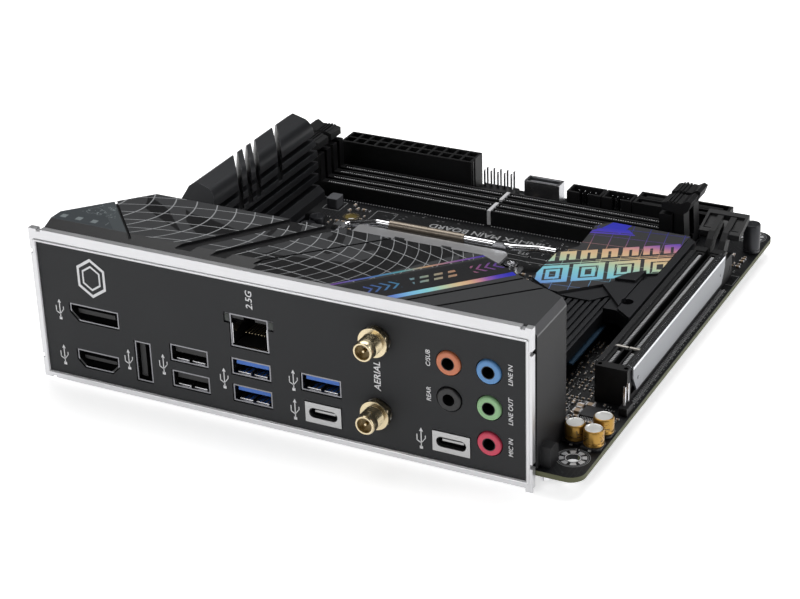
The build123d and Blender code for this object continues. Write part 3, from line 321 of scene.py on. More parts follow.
def cover_layers(place):
    """The printed lines, facets and colour bands on top of the port cover, and a painted highlight on its
    slanted right edge.
    """
    top = place.z > COVER_TOP - 0.3
    x, y = place.x, place.y
    art = place.inside((-90, -86), (9.0, -84.0), (41.0, -50.0), (36, -48), (-69, -48), (-90, -71))
    # Arcs that lean more and stand closer towards the right, and lines that rise and fall across them.
    vertex = (x + 60.0) * 0.07 + 58.0
    reach = (x + 60.0) * 0.26 + 32.0
    bent = x + (y + vertex) * (y + vertex) / reach
    arcs = ((bent + 67.3) * -0.00562 + 1.0).math("MAXIMUM", 0.05).math("LOGARITHM", math.e)
    arcs = arcs.line(0.045, 0.0026)
    arch = (x + 25.0) * (x + 25.0) * 0.0035 + y
    rows = arch.line(5.6, 0.28)
    shade = [((-71, -50.5), (-67, -59), (-47, -70), (-60, -57)),
             ((-55, -55), (-50.5, -62), (-43, -68.5), (-36, -66)),
             ((-51.26, -57.17), (-36, -66), (-31.92, -61.92), (-45, -58)),
             ((8, -48), (12, -62), (24, -64), (36, -48)),
             ((-4, -84), (9.4, -84), (24, -64), (12, -62)),
             ((-32, -77.5), (-12, -84), (-4, -84), (8, -68), (-24, -73))]
    dark = None
    for corners in shade:
        here = place.inside(*corners)
        dark = here if dark is None else dark.either(here)
    chequer = (arch / 5.6).math("FLOOR") + (bent / 7.4).math("FLOOR")
    chequer = ((chequer / 2.0).math("FRACT") > 0.25) * (x > -24.0) * (place.noise(16.0) > 0.47)
    label = place.inside((9.6, -84.2), (25.0, -84.2), (53.0, -55.4), (41.8, -50.0))
    # Distances along and across the slanted colour bands.
    along = x * BAND_RUN[0] + y * BAND_RUN[1]
    across = x * BAND_RUN[1] - y * BAND_RUN[0]
    thin = across.between(62.6, 63.5) * along.between(*THIN_BAND)
    thick = across.between(75.8, 78.0) * along.between(*THICK_BAND)
    thin_colour = place.ramp(along, *THIN_BAND, [(0.0, "7A4C9C"), (0.25, "4C6FB4"), (0.45, "55A0A6"),
                                                 (0.62, "C49A72"), (0.82, "8A5CA0"), (1.0, "4038A8")])
    thick_colour = place.ramp(along, *THICK_BAND, SPECTRUM)
    middle = (across - 70.0).math("ABSOLUTE")
    chevrons = (along + middle * 0.9).line(2.6, 0.85) * (middle < 2.3) * along.between(MARKED[0], -36.0)
    arrows = (along - middle * 0.9).line(2.6, 0.85) * (middle < 2.3) * along.between(-14.5, MARKED[1])
    bars = (along + across * 0.35).line(4.2, 2.6) * middle.between(0.7, 1.9) * along.between(-32.5, -19.0)
    marks_colour = place.ramp(along, *MARKED, [(0.0, "41549A"), (0.25, "3F7FA0"), (0.45, "8F9A86"),
                                               (0.65, "B08468"), (0.8, "8A4C78"), (1.0, "4A3A98")])
    corner = place.inside((-90, -77), (-60.6, -77.0), (-79.9, -57.0), (-90, -71))
    strip = place.inside((-66, -77), (-60.6, -77.0), (-79.9, -57.0), (-82.5, -60))
    emblem = place.inside((-84, -69), (-71, -69), (-76, -61), (-80, -61.5))
    sketch = place.noise(3.2).line(0.22, 0.030) * emblem
    dashes = x.line(5.4, 2.0) * y.between(-74.2, -72.2) * x.between(-88, -71)
    front = (place.facing[1] < -0.3) * (place.z > COVER_TOP - 5)
    lip = (y < -82.6) * top
    fade = place.noise(18.0) * 0.5 + 0.45
    # Painted highlight: the slanted right edge of the cover is painted light grey.
    chamfer_highlight = (x > 70.6) * (place.z > COVER_TOP - 2.2) * (place.facing[2] < 0.95)
    return [(top, "303133", None, 0.54),
            (top * art * dark, BLACK, None, 0.35),
            (top * art * chequer, "141416", None, 0.36),
            (top * art * arcs.either(rows) * fade, "B4B6B8", None, 0.5),
            (top * label, "17171A", None, 0.38),
            (top * thin, thin_colour, None, 0.3),
            (top * thick, thick_colour, None, 0.3),
            (top * label * chevrons.either(arrows).either(bars), marks_colour, None, 0.4),
            (top * corner, "383E42", None, 0.48),
            (top * strip, "454B4E", None, 0.45),
            (top * corner * sketch.either(dashes), "7A8284", None, 0.5),
            (chamfer_highlight, "5C5C5E", None, 0.45),
            (place.z.between(COVER_TOP - 1.2, COVER_TOP - 0.6) * (place.facing[2] > 0.8), BLACK, None, 0.4),
            (lip.either(front), "161618", None, 0.4)]


def panel_layers(place):
    """Slanted blocks in a colour that shifts from blue through orange to indigo, over a fine grid."""
    x, y = place.x, place.y
    top = place.z > PANEL_TOP - 0.1
    downhill = y - (x - 50.0) * 0.12
    shift = place.ramp(downhill, -4.0, 47.0, SPECTRUM)
    rise = y - x * 0.62
    lean = x + y * 0.32
    big_blocks = (lean / 11.5).math("FRACT")
    big = rise.between(-25.2, -11.5) * big_blocks.between(0.04, 0.93)
    groove = rise.between(-23.0, -13.8) * big_blocks.between(0.22, 0.76)
    heart = rise.between(-22.2, -14.6) * big_blocks.between(0.29, 0.69)
    hollow = rise.between(-20.6, -16.2) * big_blocks.between(0.40, 0.58)
    big = big * groove.inverse().either(heart) * hollow.inverse()
    small_blocks = (lean / 6.8).math("FRACT")
    notch = small_blocks.between(0.42, 0.56) * rise.between(-7.6, -2.6)
    small = rise.between(-7.6, -0.4) * small_blocks.between(0.10, 0.88) * notch.inverse()
    edge_lines = rise.between(-10.6, -10.1).either(rise.between(-9.4, -9.0) * (x > 47))
    burst = place.inside((36, 37.5), (52, 41.5), (44, 49)) * (rise + x * 0.4).line(3.1, 0.5).inverse()
    burst = burst.either(place.inside((40, 43), (47, 41), (48.5, 49), (42, 49)))
    grid = downhill.line(6.4, 0.20).either((x + y * 0.18).line(5.8, 0.20))
    paint = big.either(small).either(edge_lines).either(burst)
    return [(top * grid * 0.7, shift, 0.3, 0.4), (top * paint.clamped(), shift, 0.0, 0.34)]


def capacitor_layers(place):
    """Dark marks printed round the gold sleeve."""
    sleeve = place.z.between(2.0, 4.6) * (place.facing[2].math("ABSOLUTE") < 0.5)
    marks = sleeve * (place.noise(0.8, (1, 1, 0.5)) > 0.57)
    stamp = marks * (place.noise(4.0) > 0.5)
    return [(stamp, "2A1C08", 0.2, 0.4)]


def heatsink_layers(place):
    """The foot of a heatsink, near the board, is painted black as painted shade below what stands above it.
    """
    return [(place.z < 4.8, BLACK, 0.0, 0.5)]


def shield_layers(place):
    """Rails along the top of the slot, polished, and painted light as a painted highlight."""
    return [(place.z > PCIE_TOP - 0.95, "E2E3E6", 1.0, 0.16)]


FINISH = {
    "pcb": material("solder_mask", "0F1012", 0.46, vary=0.15, patch=25, grain=0.5, depth=0.004, worn=0,
                    specular_ior_level=0.3, layers=board_layers),
    "plate_black": material("powder_coat", "232426", 0.68, vary=0.10, patch=30, grain=0.16, depth=0.016,
                            worn=0.2, specular_ior_level=0.35),
    "rim_steel": material("rim_nickel", "D2D2D4", 0.32, 0.8, patch=22, grain=0.16, stretch=(30, 1, 1),
                          depth=0.003, worn=0.15, worn_colour="F4F4F6"),
    "shroud": material("cover_plastic", "19191B", 0.58, vary=0.10, patch=40, grain=0.14, depth=0.008,
                       edge=0.2, worn=0.3, worn_colour="6A6A6C", specular_ior_level=0.35,
                       layers=cover_layers),
    "heatsink": material("black_anodised", "232427", 0.46, 0.45, vary=0.10, patch=30, grain=0.18, depth=0.008,
                         edge=0.22, worn=0.45, worn_colour="77797D", layers=heatsink_layers),
    "panel_print": material("printed_panel", "3A3A3C", 0.44, 0.25, patch=40, grain=0.15, depth=0.006,
                            layers=panel_layers),
    "black_plastic": material("moulded_black", "08080A", 0.54, vary=0.15, patch=10, grain=0.2, depth=0.006,
                              edge=0.14, worn=0.22, worn_colour="4A4A4E", specular_ior_level=0.32),
    "steel": material("bright_steel", "B8B9BC", 0.30, 1.0, vary=0.05, patch=9, grain=0.3,
                      stretch=(1, 18, 1), depth=0.001, worn=0.15, worn_colour="F2F2F4"),
    "ports": material("port_steel", "88888C", 0.28, 1.0, patch=6, grain=0.12, depth=0.003, worn=0.1,
                      layers=port_layers),
    "c_ports": material("small_port_steel", "B4B4B4", 0.34, 1.0, patch=6, grain=0.12, depth=0.003, worn=0.1,
                        layers=port_layers),
    "shield": material("slot_shield", "8E9094", 0.42, 0.85, patch=20, grain=0.14, stretch=(1, 20, 1),
                       depth=0.003, worn=0.3, worn_colour="EDEDF0", layers=shield_layers),
    "nickel": material("polished_nickel", "E3E3E5", 0.16, 1.0, patch=8, grain=0.2, depth=0.002, worn=0.1,
                       worn_colour="FFFFFF"),
    "gold": material("gilt_brass", "D2C3A2", 0.26, 1.0, patch=5, grain=0.15, depth=0.003, worn=0.3,
                     worn_colour="F3E3B4"),
    "contact_gold": material("contact_plating", "B8A88A", 0.34, 1.0, patch=4, grain=0.2, depth=0.002,
                             worn=0.2, worn_colour="EDE6D0"),
    "contact_grey": material("contact_tips", "CECED0", 0.40, 0.0, patch=4, grain=0.2, depth=0.002, worn=0.2,
                             worn_colour="D0D0D2"),
    "blue_tongue": material("blue_plastic", "2F62B4", 0.42, patch=6, grain=0.2, worn=0.1),
    "jack_black": material("jet_plastic", "121214", 0.42, patch=4, grain=0.18, depth=0.008, worn=0.2,
                           layers=jack_layers),
    "sleeve": material("bronze_sleeve", "8A8074", 0.34, 0.7, patch=6, grain=0.14, stretch=(20, 1, 1),
                       depth=0.004, worn=0.2),
    "thermal_pad": material("silicone_pad", "123A54", 0.7, vary=0.2, patch=3, grain=0.3, depth=0.03, worn=0.1,
                            worn_colour="6FA7C9"),
    "choke": material("pressed_ferrite", "5A5B5F", 0.58, 0.3, vary=0.15, patch=2, grain=0.12, depth=0.014,
                      worn=0.4, worn_colour="9A9A9E"),
    "chip": material("epoxy_package", "1B1B1E", 0.52, vary=0.12, patch=4, grain=0.12, depth=0.01, worn=0.2),
    "capacitor_gold": material("gold_sleeve", "A8823F", 0.30, 0.8, patch=2.5, grain=0.2, depth=0.004,
                               worn=0.2, worn_colour="E8C98A", layers=capacitor_layers),
    "capacitor_top": material("bare_aluminium", "EDEDEA", 0.34, 0.6, patch=2, grain=0.15, depth=0.006,
                              worn=0.1, worn_colour="FFFFFF"),
    "capacitor_black": material("black_can", "2B2C30", 0.36, 0.4, patch=4, grain=0.2, depth=0.004, worn=0.3,
                                worn_colour="8A8A8E"),
    "cell": material("cell_steel", "B4B4B2", 0.3, 1.0, patch=6, grain=0.15, depth=0.003),
    "ceramic": material("ceramic_tan", "A8927A", 0.5, vary=0.35, patch=1.2, grain=0.1, depth=0.004, worn=0.1),
    "resistor": material("resistor_black", "101012", 0.4, patch=1, grain=0.1, depth=0.004, worn=0.1),
    "solder": material("solder", "D9D9DB", 0.30, 0.4, vary=0.15, patch=0.8, grain=0.2, depth=0.01, worn=0.1,
                       worn_colour="FFFFFF"),
    "silk": material("silk_screen", "A2A3A4", 0.6, vary=0.15, patch=2, grain=0.12, depth=0.004, worn=0),
    "label": material("label_ink", "D6D6D8", 0.45, vary=0.06, patch=3, grain=0.12, depth=0.004, worn=0),
    "lamp_green": material("lamp_green", "1E2420", 0.3, patch=1.5, grain=0.2, worn=0.1),
    "white_plastic": material("white_insulator", "D9D4CC", 0.4, patch=2, grain=0.15, worn=0),
}
for name, code, worn_code in (("orange", "C0714F", "EAB096"), ("blue", "5587BB", "A9C8E6"),
                              ("green", "86B080", "C7DFC2"), ("red", "C43A54", "EE8C9C")):
    FINISH["jack_" + name] = material(name + "_plastic", code, 0.46, patch=4, grain=0.18, depth=0.008,
                                      worn=0.15, worn_colour=worn_code, layers=jack_layers)

SLOT_OF = {row["node"]: row["material_slot"] for row in frame["record"]["subparts"]}
# Nodes whose finish is more particular than their record slot.
SPECIAL = {"pcie_shield": "shield", "socket_contacts": "black_plastic", "header_pins": "nickel",
           "dimm_key_clips": "label", "load_plate": "rim_steel", "usb_c_sockets": "c_ports"}
for name in ("display_socket", "video_socket", "usb2_sockets", "lan_usb_stack", "usb_c_stack"):
    SPECIAL[name] = "ports"
for name, cad in NODES.items():
    cad.data.materials.clear()
    cad.data.materials.append(FINISH[SPECIAL.get(name, SLOT_OF[name])])


# ------------------------------------------------------------------ mesh building
class Shape:
    """Points in millimetres, faces, and which of a piece's finishes each face has."""

    def __init__(self):
        self.points, self.faces, self.finish = [], [], []

    def add(self, other, at=(0, 0, 0), turn=0.0, matrix=None):
        """Stamp another shape, turned about Z in degrees and moved, or placed by a matrix."""
        if matrix is None:
            matrix = Matrix.Translation(at) @ Matrix.Rotation(math.radians(turn), 4, "Z")
        start = len(self.points)
        self.points += [matrix @ p for p in other.points]
        self.faces += [[start + i for i in face] for face in other.faces]
        self.finish += other.finish
        return self

    def show(self, name, body, slot, *finishes, replaces=(), smooth=35):
        """Make the piece with its finishes. It rides on a CAD body; its slot argument is not used."""
        mesh = bpy.data.meshes.new(name)
        mesh.from_pydata([p * MM for p in self.points], [], self.faces)
        for finish in finishes:
            mesh.materials.append(FINISH[finish])
        mesh.polygons.foreach_set("material_index", self.finish)
        mesh.shade_smooth()
        mesh.set_sharp_from_angle(angle=math.radians(smooth))
        mesh.update()
        made = bpy.data.objects.new(name, mesh)
        bpy.context.scene.collection.objects.link(made)
        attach(made, body)
        if replaces:
            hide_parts(*replaces)
        return made


def from_bmesh(bm, finish=0):
    shape = Shape()
    bm.verts.index_update()
    shape.points = [v.co.copy() for v in bm.verts]
    shape.faces = [[v.index for v in f.verts] for f in bm.faces]
    shape.finish = [finish] * len(shape.faces)
    bm.free()
    return shape


def block(x, y, z, bevel=0.1, segments=2, finish=0):
    """A box from its ranges, with rounded edges."""
    bm = bmesh.new()
    bmesh.ops.create_cube(bm, size=1.0)
    for v in bm.verts:
        v.co = Vector([(r[0] + r[1]) / 2 + c * (r[1] - r[0]) for r, c in zip((x, y, z), v.co)])
    bmesh.ops.bevel(bm, geom=bm.edges[:], offset=bevel, segments=segments, affect="EDGES", profile=0.5)
    return from_bmesh(bm, finish)


def slab(outline, low, high, bevel=0.0, finish=0):
    """An outline in plan standing between two heights."""
    bm = bmesh.new()
    face = bm.faces.new([bm.verts.new((px, py, low)) for px, py in outline])
    risen = bmesh.ops.extrude_face_region(bm, geom=[face])["geom"]
    top = [g for g in risen if isinstance(g, bmesh.types.BMVert)]
    bmesh.ops.translate(bm, verts=top, vec=(0, 0, high - low))
    bmesh.ops.recalc_face_normals(bm, faces=bm.faces[:])
    if bevel:
        bmesh.ops.bevel(bm, geom=bm.edges[:], offset=bevel, segments=2, affect="EDGES", profile=0.5)
    return from_bmesh(bm, finish)


def lathe(profile, sides=40, finishes=None):
    """A shape turned about Z from its (radius, height) profile, closed where that ends on the axis."""
    shape = Shape()
    rows = []
    for radius, height in profile:
        if radius == 0:
            rows.append([len(shape.points)])
            shape.points.append(Vector((0, 0, height)))
            continue
        rows.append(list(range(len(shape.points), len(shape.points) + sides)))
        for i in range(sides):
            angle = 2 * math.pi * i / sides
            shape.points.append(Vector((radius * math.cos(angle), radius * math.sin(angle), height)))
    for step, (low, high) in enumerate(zip(rows, rows[1:])):
        for i in range(sides):
            a, b = low[i % len(low)], low[(i + 1) % len(low)]
            c, d = high[(i + 1) % len(high)], high[i % len(high)]
            if len(high) == 1:
                shape.faces.append([a, b, c])
            elif len(low) == 1:
                shape.faces.append([a, c, d])
            else:
                shape.faces.append([a, b, c, d])
            shape.finish.append(finishes[step] if finishes else 0)
    return shape


def band(outer, inner, low, high, start=0.0, sweep=360.0, steps=48, finish=0):
    """A flat ring, or part of one, as a solid."""
    closed = sweep >= 360
    count = steps if closed else steps + 1
    shape = Shape()
    for i in range(count):
        angle = math.radians(start + sweep * i / steps)
        for radius, height in ((outer, low), (outer, high), (inner, high), (inner, low)):
            shape.points.append(Vector((radius * math.cos(angle), radius * math.sin(angle), height)))
    for i in range(steps if closed else count - 1):
        j = (i + 1) % count
        for k in range(4):
            m = (k + 1) % 4
            shape.faces.append([4 * i + k, 4 * j + k, 4 * j + m, 4 * i + m])
    if not closed:
        shape.faces += [[3, 2, 1, 0], [4 * count - 4, 4 * count - 3, 4 * count - 2, 4 * count - 1]]
    shape.finish = [finish] * len(shape.faces)
    return shape


def spots(x, y, step_x, step_y):
    """Places on a grid that fills two ranges."""
    columns = int((x[1] - x[0]) / step_x + 1e-6) + 1
    rows = int((y[1] - y[0]) / step_y + 1e-6) + 1
    return [(x[0] + i * step_x, y[0] + j * step_y) for j in range(rows) for i in range(columns)]


# ------------------------------------------------------------------ contacts
DIMM_PITCH = 0.85
DIMM_TIP_AWAY = 2.15             # distance of the tips from the middle of a slot
DIMM_KEY_GAP = 1.8               # half the gap in their rows at the key
PCIE_TIP_AWAY = 2.1
PCIE_ROWS = [(-38.6, -31.0), (-27.0, 38.2)]      # y ranges on each side of the key

tip = block((-0.2, 0.2), (-0.52, 0.52), (-0.55, 0.0), bevel=0.12)
comb = Shape()
for row in DIMM_ROWS:
    for side in (-1, 1):
        for low, high in ((-68.2, DIMM_KEY_X - DIMM_KEY_GAP), (DIMM_KEY_X + DIMM_KEY_GAP, 53.3)):
            for x, _ in spots((low, high), (0, 0), DIMM_PITCH, 1):
                comb.add(tip, (x, row + side * DIMM_TIP_AWAY, DIMM_TOP - 0.30))
comb.show("dimm_contact_tips", "board", "contact_gold", "contact_grey", replaces=["dimm_contacts"])

spring = block((-0.5, 0.5), (-0.24, 0.24), (-0.9, 0.0), bevel=0.12)
comb = Shape()
for side in (-1, 1):
    for reach in PCIE_ROWS:
        for _, y in spots((0, 0), reach, 1, 1.0):
            comb.add(spring, (PCIE_X + side * PCIE_TIP_AWAY, y, PCIE_TOP - 0.62))
for side in (-1, 1):
    comb.add(block(sorted((PCIE_X + side * 0.2, PCIE_X + side * 4.0)), (-29.4, -28.5),
                   (PCIE_TOP - 0.7, PCIE_TOP - 0.1), 0.12, finish=1))
comb.show("slot_contact_tips", "board", "contact_gold", "contact_grey", "white_plastic",
          replaces=["pcie_contacts"])

lance = Shape()
lance.points = [Vector(p) for p in ((-0.2, -0.12, 0), (0.2, -0.12, 0), (0.2, 0.12, 0), (-0.2, 0.12, 0),
                                    (0.05, -0.1, 0.55), (0.34, -0.1, 0.6), (0.34, 0.1, 0.6),
                                    (0.05, 0.1, 0.55))]
lance.faces = [[3, 2, 1, 0], [4, 5, 6, 7], [0, 1, 5, 4], [1, 2, 6, 5], [2, 3, 7, 6], [3, 0, 4, 7]]
lance.finish = [0] * 6
WINDOW_X, WINDOW_Y = 7.2, 5.6    # half sizes of the socket's open middle
LANCE_FOOT = 2.68
lances = Shape()
for x, y in spots((-19.8, 19.8), (-16.8, 16.8), 1.1, 1.05):
    if abs(x) > WINDOW_X or abs(y) > WINDOW_Y:
        lances.add(lance, (SOCKET_X + x, SOCKET_Y + y, LANCE_FOOT))
lances.show("socket_lances", "board", "contact_gold", "contact_gold")

# ------------------------------------------------------------------ antenna connectors
thread = [(0, 0), (3.0, 0)]
for turn in range(11):
    z = 0.35 + turn * 0.55
    thread += [(2.86, z), (3.1, z + 0.28)]
thread += [(3.0, 6.7), (3.0, 8.2), (2.75, 8.6), (2.3, 8.6), (2.2, 8.3), (2.2, 4.0), (0, 4.0)]
thread_finish = [0] * (len(thread) - 2) + [1]
pin = lathe([(0, 4.0), (0.55, 4.0), (0.55, 7.6), (0.35, 8.0), (0, 8.05)], 16)
nut = lathe([(3.05, -0.05), (4.1, -0.05), (4.55, 0.35), (4.55, 1.75), (4.15, 2.2), (3.05, 2.2)], 6)
washer = lathe([(3.05, 2.2), (4.35, 2.2), (4.5, 2.35), (4.45, 2.65), (3.05, 2.75)], 40)
antenna = Shape()
for x, z in ANTENNAS:
    out = Matrix.Translation((x, PLATE_Y - 0.05, z)) @ Matrix.Rotation(math.radians(90), 4, "X")
    barrel = Matrix.Translation((x, PLATE_Y, z)) @ Matrix.Rotation(math.radians(90), 4, "X")
    antenna.add(lathe(thread, 40, thread_finish), matrix=barrel)
    antenna.add(pin, matrix=barrel)
    antenna.add(nut, matrix=out @ Matrix.Rotation(math.radians(30), 4, "Z"))
    antenna.add(washer, matrix=out)
antenna.show("antenna_connectors", "board", "gold", "gold", "white_plastic", replaces=["antenna_sockets"])

# ------------------------------------------------------------------ capacitors
can = [(0, 0.85), (2.7, 0.85), (2.92, 1.05), (2.95, 1.5), (2.72, 1.75), (2.72, 1.95), (2.97, 2.2),
       (2.97, 5.2), (2.8, 5.62), (2.5, 5.78), (2.28, 5.74), (2.2, 5.6), (0, 5.62)]
can_finish = [0] * 9 + [1] * 3
foot = [(-2.9, -2.9), (2.0, -2.9), (2.9, -2.0), (2.9, 2.0), (2.0, 2.9), (-2.9, 2.9)]
base = Shape().add(slab(foot, 0.02, 0.85, 0.1, finish=2))
for side in (-1, 1):
    base.add(block((-0.45, 0.45), (side * 2.9 - 0.5, side * 2.9 + 0.3), (0.0, 0.35), 0.06, finish=1))
cans = Shape()
for x, y in GOLD_CAPS:
    cans.add(base, (x, y, 0)).add(lathe(can, 48, can_finish), (x, y, 0))
cans.show("gold_cans", "board", "capacitor_gold", "capacitor_gold", "capacitor_top", "chip",
          replaces=["gold_capacitors"])

cans = Shape()
for x, y, height in BLACK_CAPS:
    cans.add(lathe([(0, 0.02), (2.6, 0.02), (2.78, 0.2), (2.78, 0.9), (2.62, 1.1), (2.62, 1.3), (2.78, 1.5),
                    (2.78, height - 0.5), (2.55, height - 0.05), (2.25, height), (2.1, height - 0.15),
                    (0, height - 0.12)], 44), (x, y, 0))
    for angle in (0, 90):
        groove = block((-1.7, 1.7), (-0.08, 0.08), (height - 0.14, height - 0.08), 0.02)
        cans.add(groove, (x, y, 0), angle + 25)
cans.show("black_cans", "board", "capacitor_black", "capacitor_black", replaces=["black_capacitors"])


# ------------------------------------------------------------------ surface-mounted parts
def two_terminal(length, width, height, body):
    """A chip part with a soldered cap at each end."""
    part = Shape()
    middle = (-length * 0.32, length * 0.32)
    part.add(block(middle, (-width / 2, width / 2), (0.03, height), 0.05, 1, finish=body))
    for side in (-1, 1):
        ends = sorted((side * length * 0.3, side * length * 0.5))
        part.add(block(ends, (-width * 0.54, width * 0.54), (0.0, height * 1.04), 0.07, 1, finish=2))
    return part


KINDS = [two_terminal(1.0, 0.5, 0.5, 0), two_terminal(1.0, 0.5, 0.35, 1), two_terminal(1.6, 0.8, 0.7, 0),
         two_terminal(2.0, 1.2, 0.9, 0)]
rng = random.Random(7)
parts = Shape()
# (x range, y range, pitch, share of places filled, kinds)
FIELDS = [((60.4, 70.6), (-52.0, -9.0), 1.7, 0.78, (0, 1, 0)),
          ((62.0, 71.0), (-66.0, -54.5), 1.7, 0.5, (0, 1)),
          ((71.6, 78.2), (-56.0, -54.4), 1.5, 0.9, (0, 0, 2)),
          ((73.0, 80.0), (-46.6, -44.6), 1.6, 0.8, (0, 1)),
          ((67.5, 71.2), (-54.0, -46.0), 1.8, 0.9, (2, 0)),
          ((79.2, 83.0), (-54.0, -49.0), 1.6, 0.7, (0, 1)),
          ((72.4, 82.6), (52.5, 64.5), 1.9, 0.55, (0, 1, 2)),
          ((-64.0, -46.0), (29.5, 52.0), 2.3, 0.4, (0, 2, 1)),
          ((-46.0, -20.0), (31.0, 36.0), 2.6, 0.3, (0, 1)),
          ((14.0, 33.0), (30.0, 50.0), 3.2, 0.25, (0, 1)),
          ((18.0, 32.0), (-26.0, 24.0), 2.6, 0.35, (0, 2)),
          ((-64.0, -50.0), (-44.0, 12.0), 2.4, 0.35, (0, 2, 3)),
          ((-34.0, 12.0), (-44.0, -26.0), 2.6, 0.35, (0, 2)),
          ((40.0, 68.0), (50.5, 53.2), 1.9, 0.4, (0, 1)),
          ((-70.0, 10.0), (71.8, 73.0), 2.4, 0.3, (0, 1)),
          ((40.0, 80.0), (-70.5, -64.0), 2.4, 0.35, (0, 1)),
          ((83.2, 84.2), (-36.0, 40.0), 2.1, 0.5, (1,)),
          ((-84.0, -76.0), (50.0, 72.0), 2.2, 0.3, (0, 1))]
# Circles that stay free of them and of printed dashes, as (x, y, radius).
KEEP_OUT = [(x, y, 4.3) for x, y in MOUNT_HOLES + COOLER_HOLES]
KEEP_OUT += [(x, y, 3.8) for x, y in GOLD_CAPS] + [(x, y, 3.6) for x, y, _ in BLACK_CAPS]
KEEP_OUT += [(-61.7, 48.0, 4.0), (74.7, -50.6, 4.6), (-81.4, 49.0, 5.0), (83.0, -45.7, 3.0),
             (74.0, -80.0, 4.5)]


def is_clear(x, y):
    return all(math.hypot(x - kx, y - ky) > reach for kx, ky, reach in KEEP_OUT)


for x_range, y_range, pitch, share, kinds in FIELDS:
    for x, y in spots(x_range, y_range, pitch, pitch):
        chance, kind, upright = rng.random(), rng.choice(kinds), rng.random() < 0.5
        if chance < share and is_clear(x, y):
            jitter = (rng.uniform(-0.2, 0.2), rng.uniform(-0.2, 0.2))
            parts.add(KINDS[kind], (x + jitter[0], y + jitter[1], 0), 90 if upright else 0)
for x, y, turn in ((72.6, -46.9, 0), (70.2, -48.6, 90), (70.4, -51.4, 0), (79.4, -55.6, 90),
                   (70.6, -58.2, 0)):
    parts.add(two_terminal(2.6, 1.7, 1.1, 0), (x, y, 0), turn)
parts.show("surface_parts", "board", "chip", "ceramic", "resistor", "solder")

# Gull-wing legs round the flat packages.
leg = Shape()
leg.add(block((-0.11, 0.11), (-0.1, 0.35), (0.32, 0.46), 0.03, 1))
leg.add(block((-0.11, 0.11), (0.28, 0.42), (0.05, 0.46), 0.03, 1))
leg.add(block((-0.11, 0.11), (0.34, 0.8), (0.0, 0.12), 0.03, 1))
legs = Shape()
for x0, x1, y0, y1 in PACKAGES:
    for x, _ in spots((x0 + 0.6, x1 - 0.6), (0, 0), 0.5, 1):
        legs.add(leg, (x, y1, 0)).add(leg, (x, y0, 0), 180)
    for _, y in spots((0, 0), (y0 + 0.6, y1 - 0.6), 1, 0.5):
        legs.add(leg, (x1, y, 0), -90).add(leg, (x0, y, 0), 90)
legs.show("package_legs", "board", "nickel", "solder")

# Solder fillets of the through-hole rows: a low dome round a trimmed pin.
dome = lathe([(0, 0), (0.42, 0.02), (0.34, 0.16), (0.2, 0.34), (0.16, 0.5), (0, 0.54)], 10)
small_dome = lathe([(0, 0), (0.27, 0.02), (0.2, 0.14), (0.1, 0.26), (0, 0.3)], 8)
joints = Shape()
for x, _ in spots((-69.4, 55.0), (0, 0), 1.05, 1):
    if abs(x - DIMM_KEY_X) > 1.2:
        joints.add(small_dome, (x, 53.5, 0))
for x, y in spots((82.55, 83.4), (-41.0, 38.5), 0.85, 1.0):
    joints.add(block((-0.5, 0.3), (-0.16, 0.16), (0.0, 0.42), 0.08, 1), (x, y + (0.5 if x > 83 else 0), 0))
upside_down = Matrix.Rotation(math.pi, 4, "X")
# (x range, y range, step in x, step in y) of the fillets under the board.
BELOW = [((-68.0, -21.8), (76.1, 80.3), 4.2, 4.2), ((-67.0, 53.0), (55.9, 59.9), 1.7, 4.0),
         ((-67.0, 53.0), (65.3, 69.3), 1.7, 4.0), ((74.0, 80.2), (-39.0, 38.0), 2.0, 2.0),
         ((-82.0, -78.0), (-46.7, -34.0), 4.2, 4.2), ((-42.0, -31.5), (-78.0, -71.0), 2.5, 3.5),
         ((-21.5, -10.5), (-78.0, -71.0), 1.8, 3.5), ((1.5, 12.5), (-78.0, -72.0), 2.2, 3.0),
         ((-17.7, -7.5), (77.4, 79.9), 2.54, 2.54), ((43.0, 64.0), (-83.0, -75.0), 5.2, 4.0)]
for x_range, y_range, step_x, step_y in BELOW:
    for x, y in spots(x_range, y_range, step_x, step_y):
        joints.add(dome, matrix=Matrix.Translation((x, y, -BOARD_T)) @ upside_down)
joints.show("solder_joints", "board", "steel", "solder")

# ------------------------------------------------------------------ pads and silk-screen
SILK = 0.03                      # height of printed marks
INK = 0.02                       # half the height of printed words
pads = Shape()
for x, y in MOUNT_HOLES:
    pads.add(band(2.35, 2.02, -0.02, 0.05), (x, y, 0))
    for k in range(8):
        pads.add(band(3.9, 2.55, 0.0, 0.06, start=k * 45 + 8, sweep=29, steps=6), (x, y, 0))
for x, y in COOLER_HOLES:
    pads.add(band(3.0, 2.14, 0.0, 0.05, finish=1), (x, y, 0))
pads.show("hole_pads", "board", "steel", "solder", "gold")

silk = Shape()
for x, y in MOUNT_HOLES:
    silk.add(band(4.85, 4.72, 0.0, SILK), (x, y, 0))
    silk.add(band(4.35, 4.25, 0.0, SILK), (x, y, 0))


def frame_lines(x0, x1, y0, y1, width=0.18):
    """A printed rectangle."""
    for a, b, c, d in ((x0, x1, y0, y0 + width), (x0, x1, y1 - width, y1),
                       (x0, x0 + width, y0, y1), (x1 - width, x1, y0, y1)):
        silk.add(slab([(a, c), (b, c), (b, d), (a, d)], 0.0, SILK))


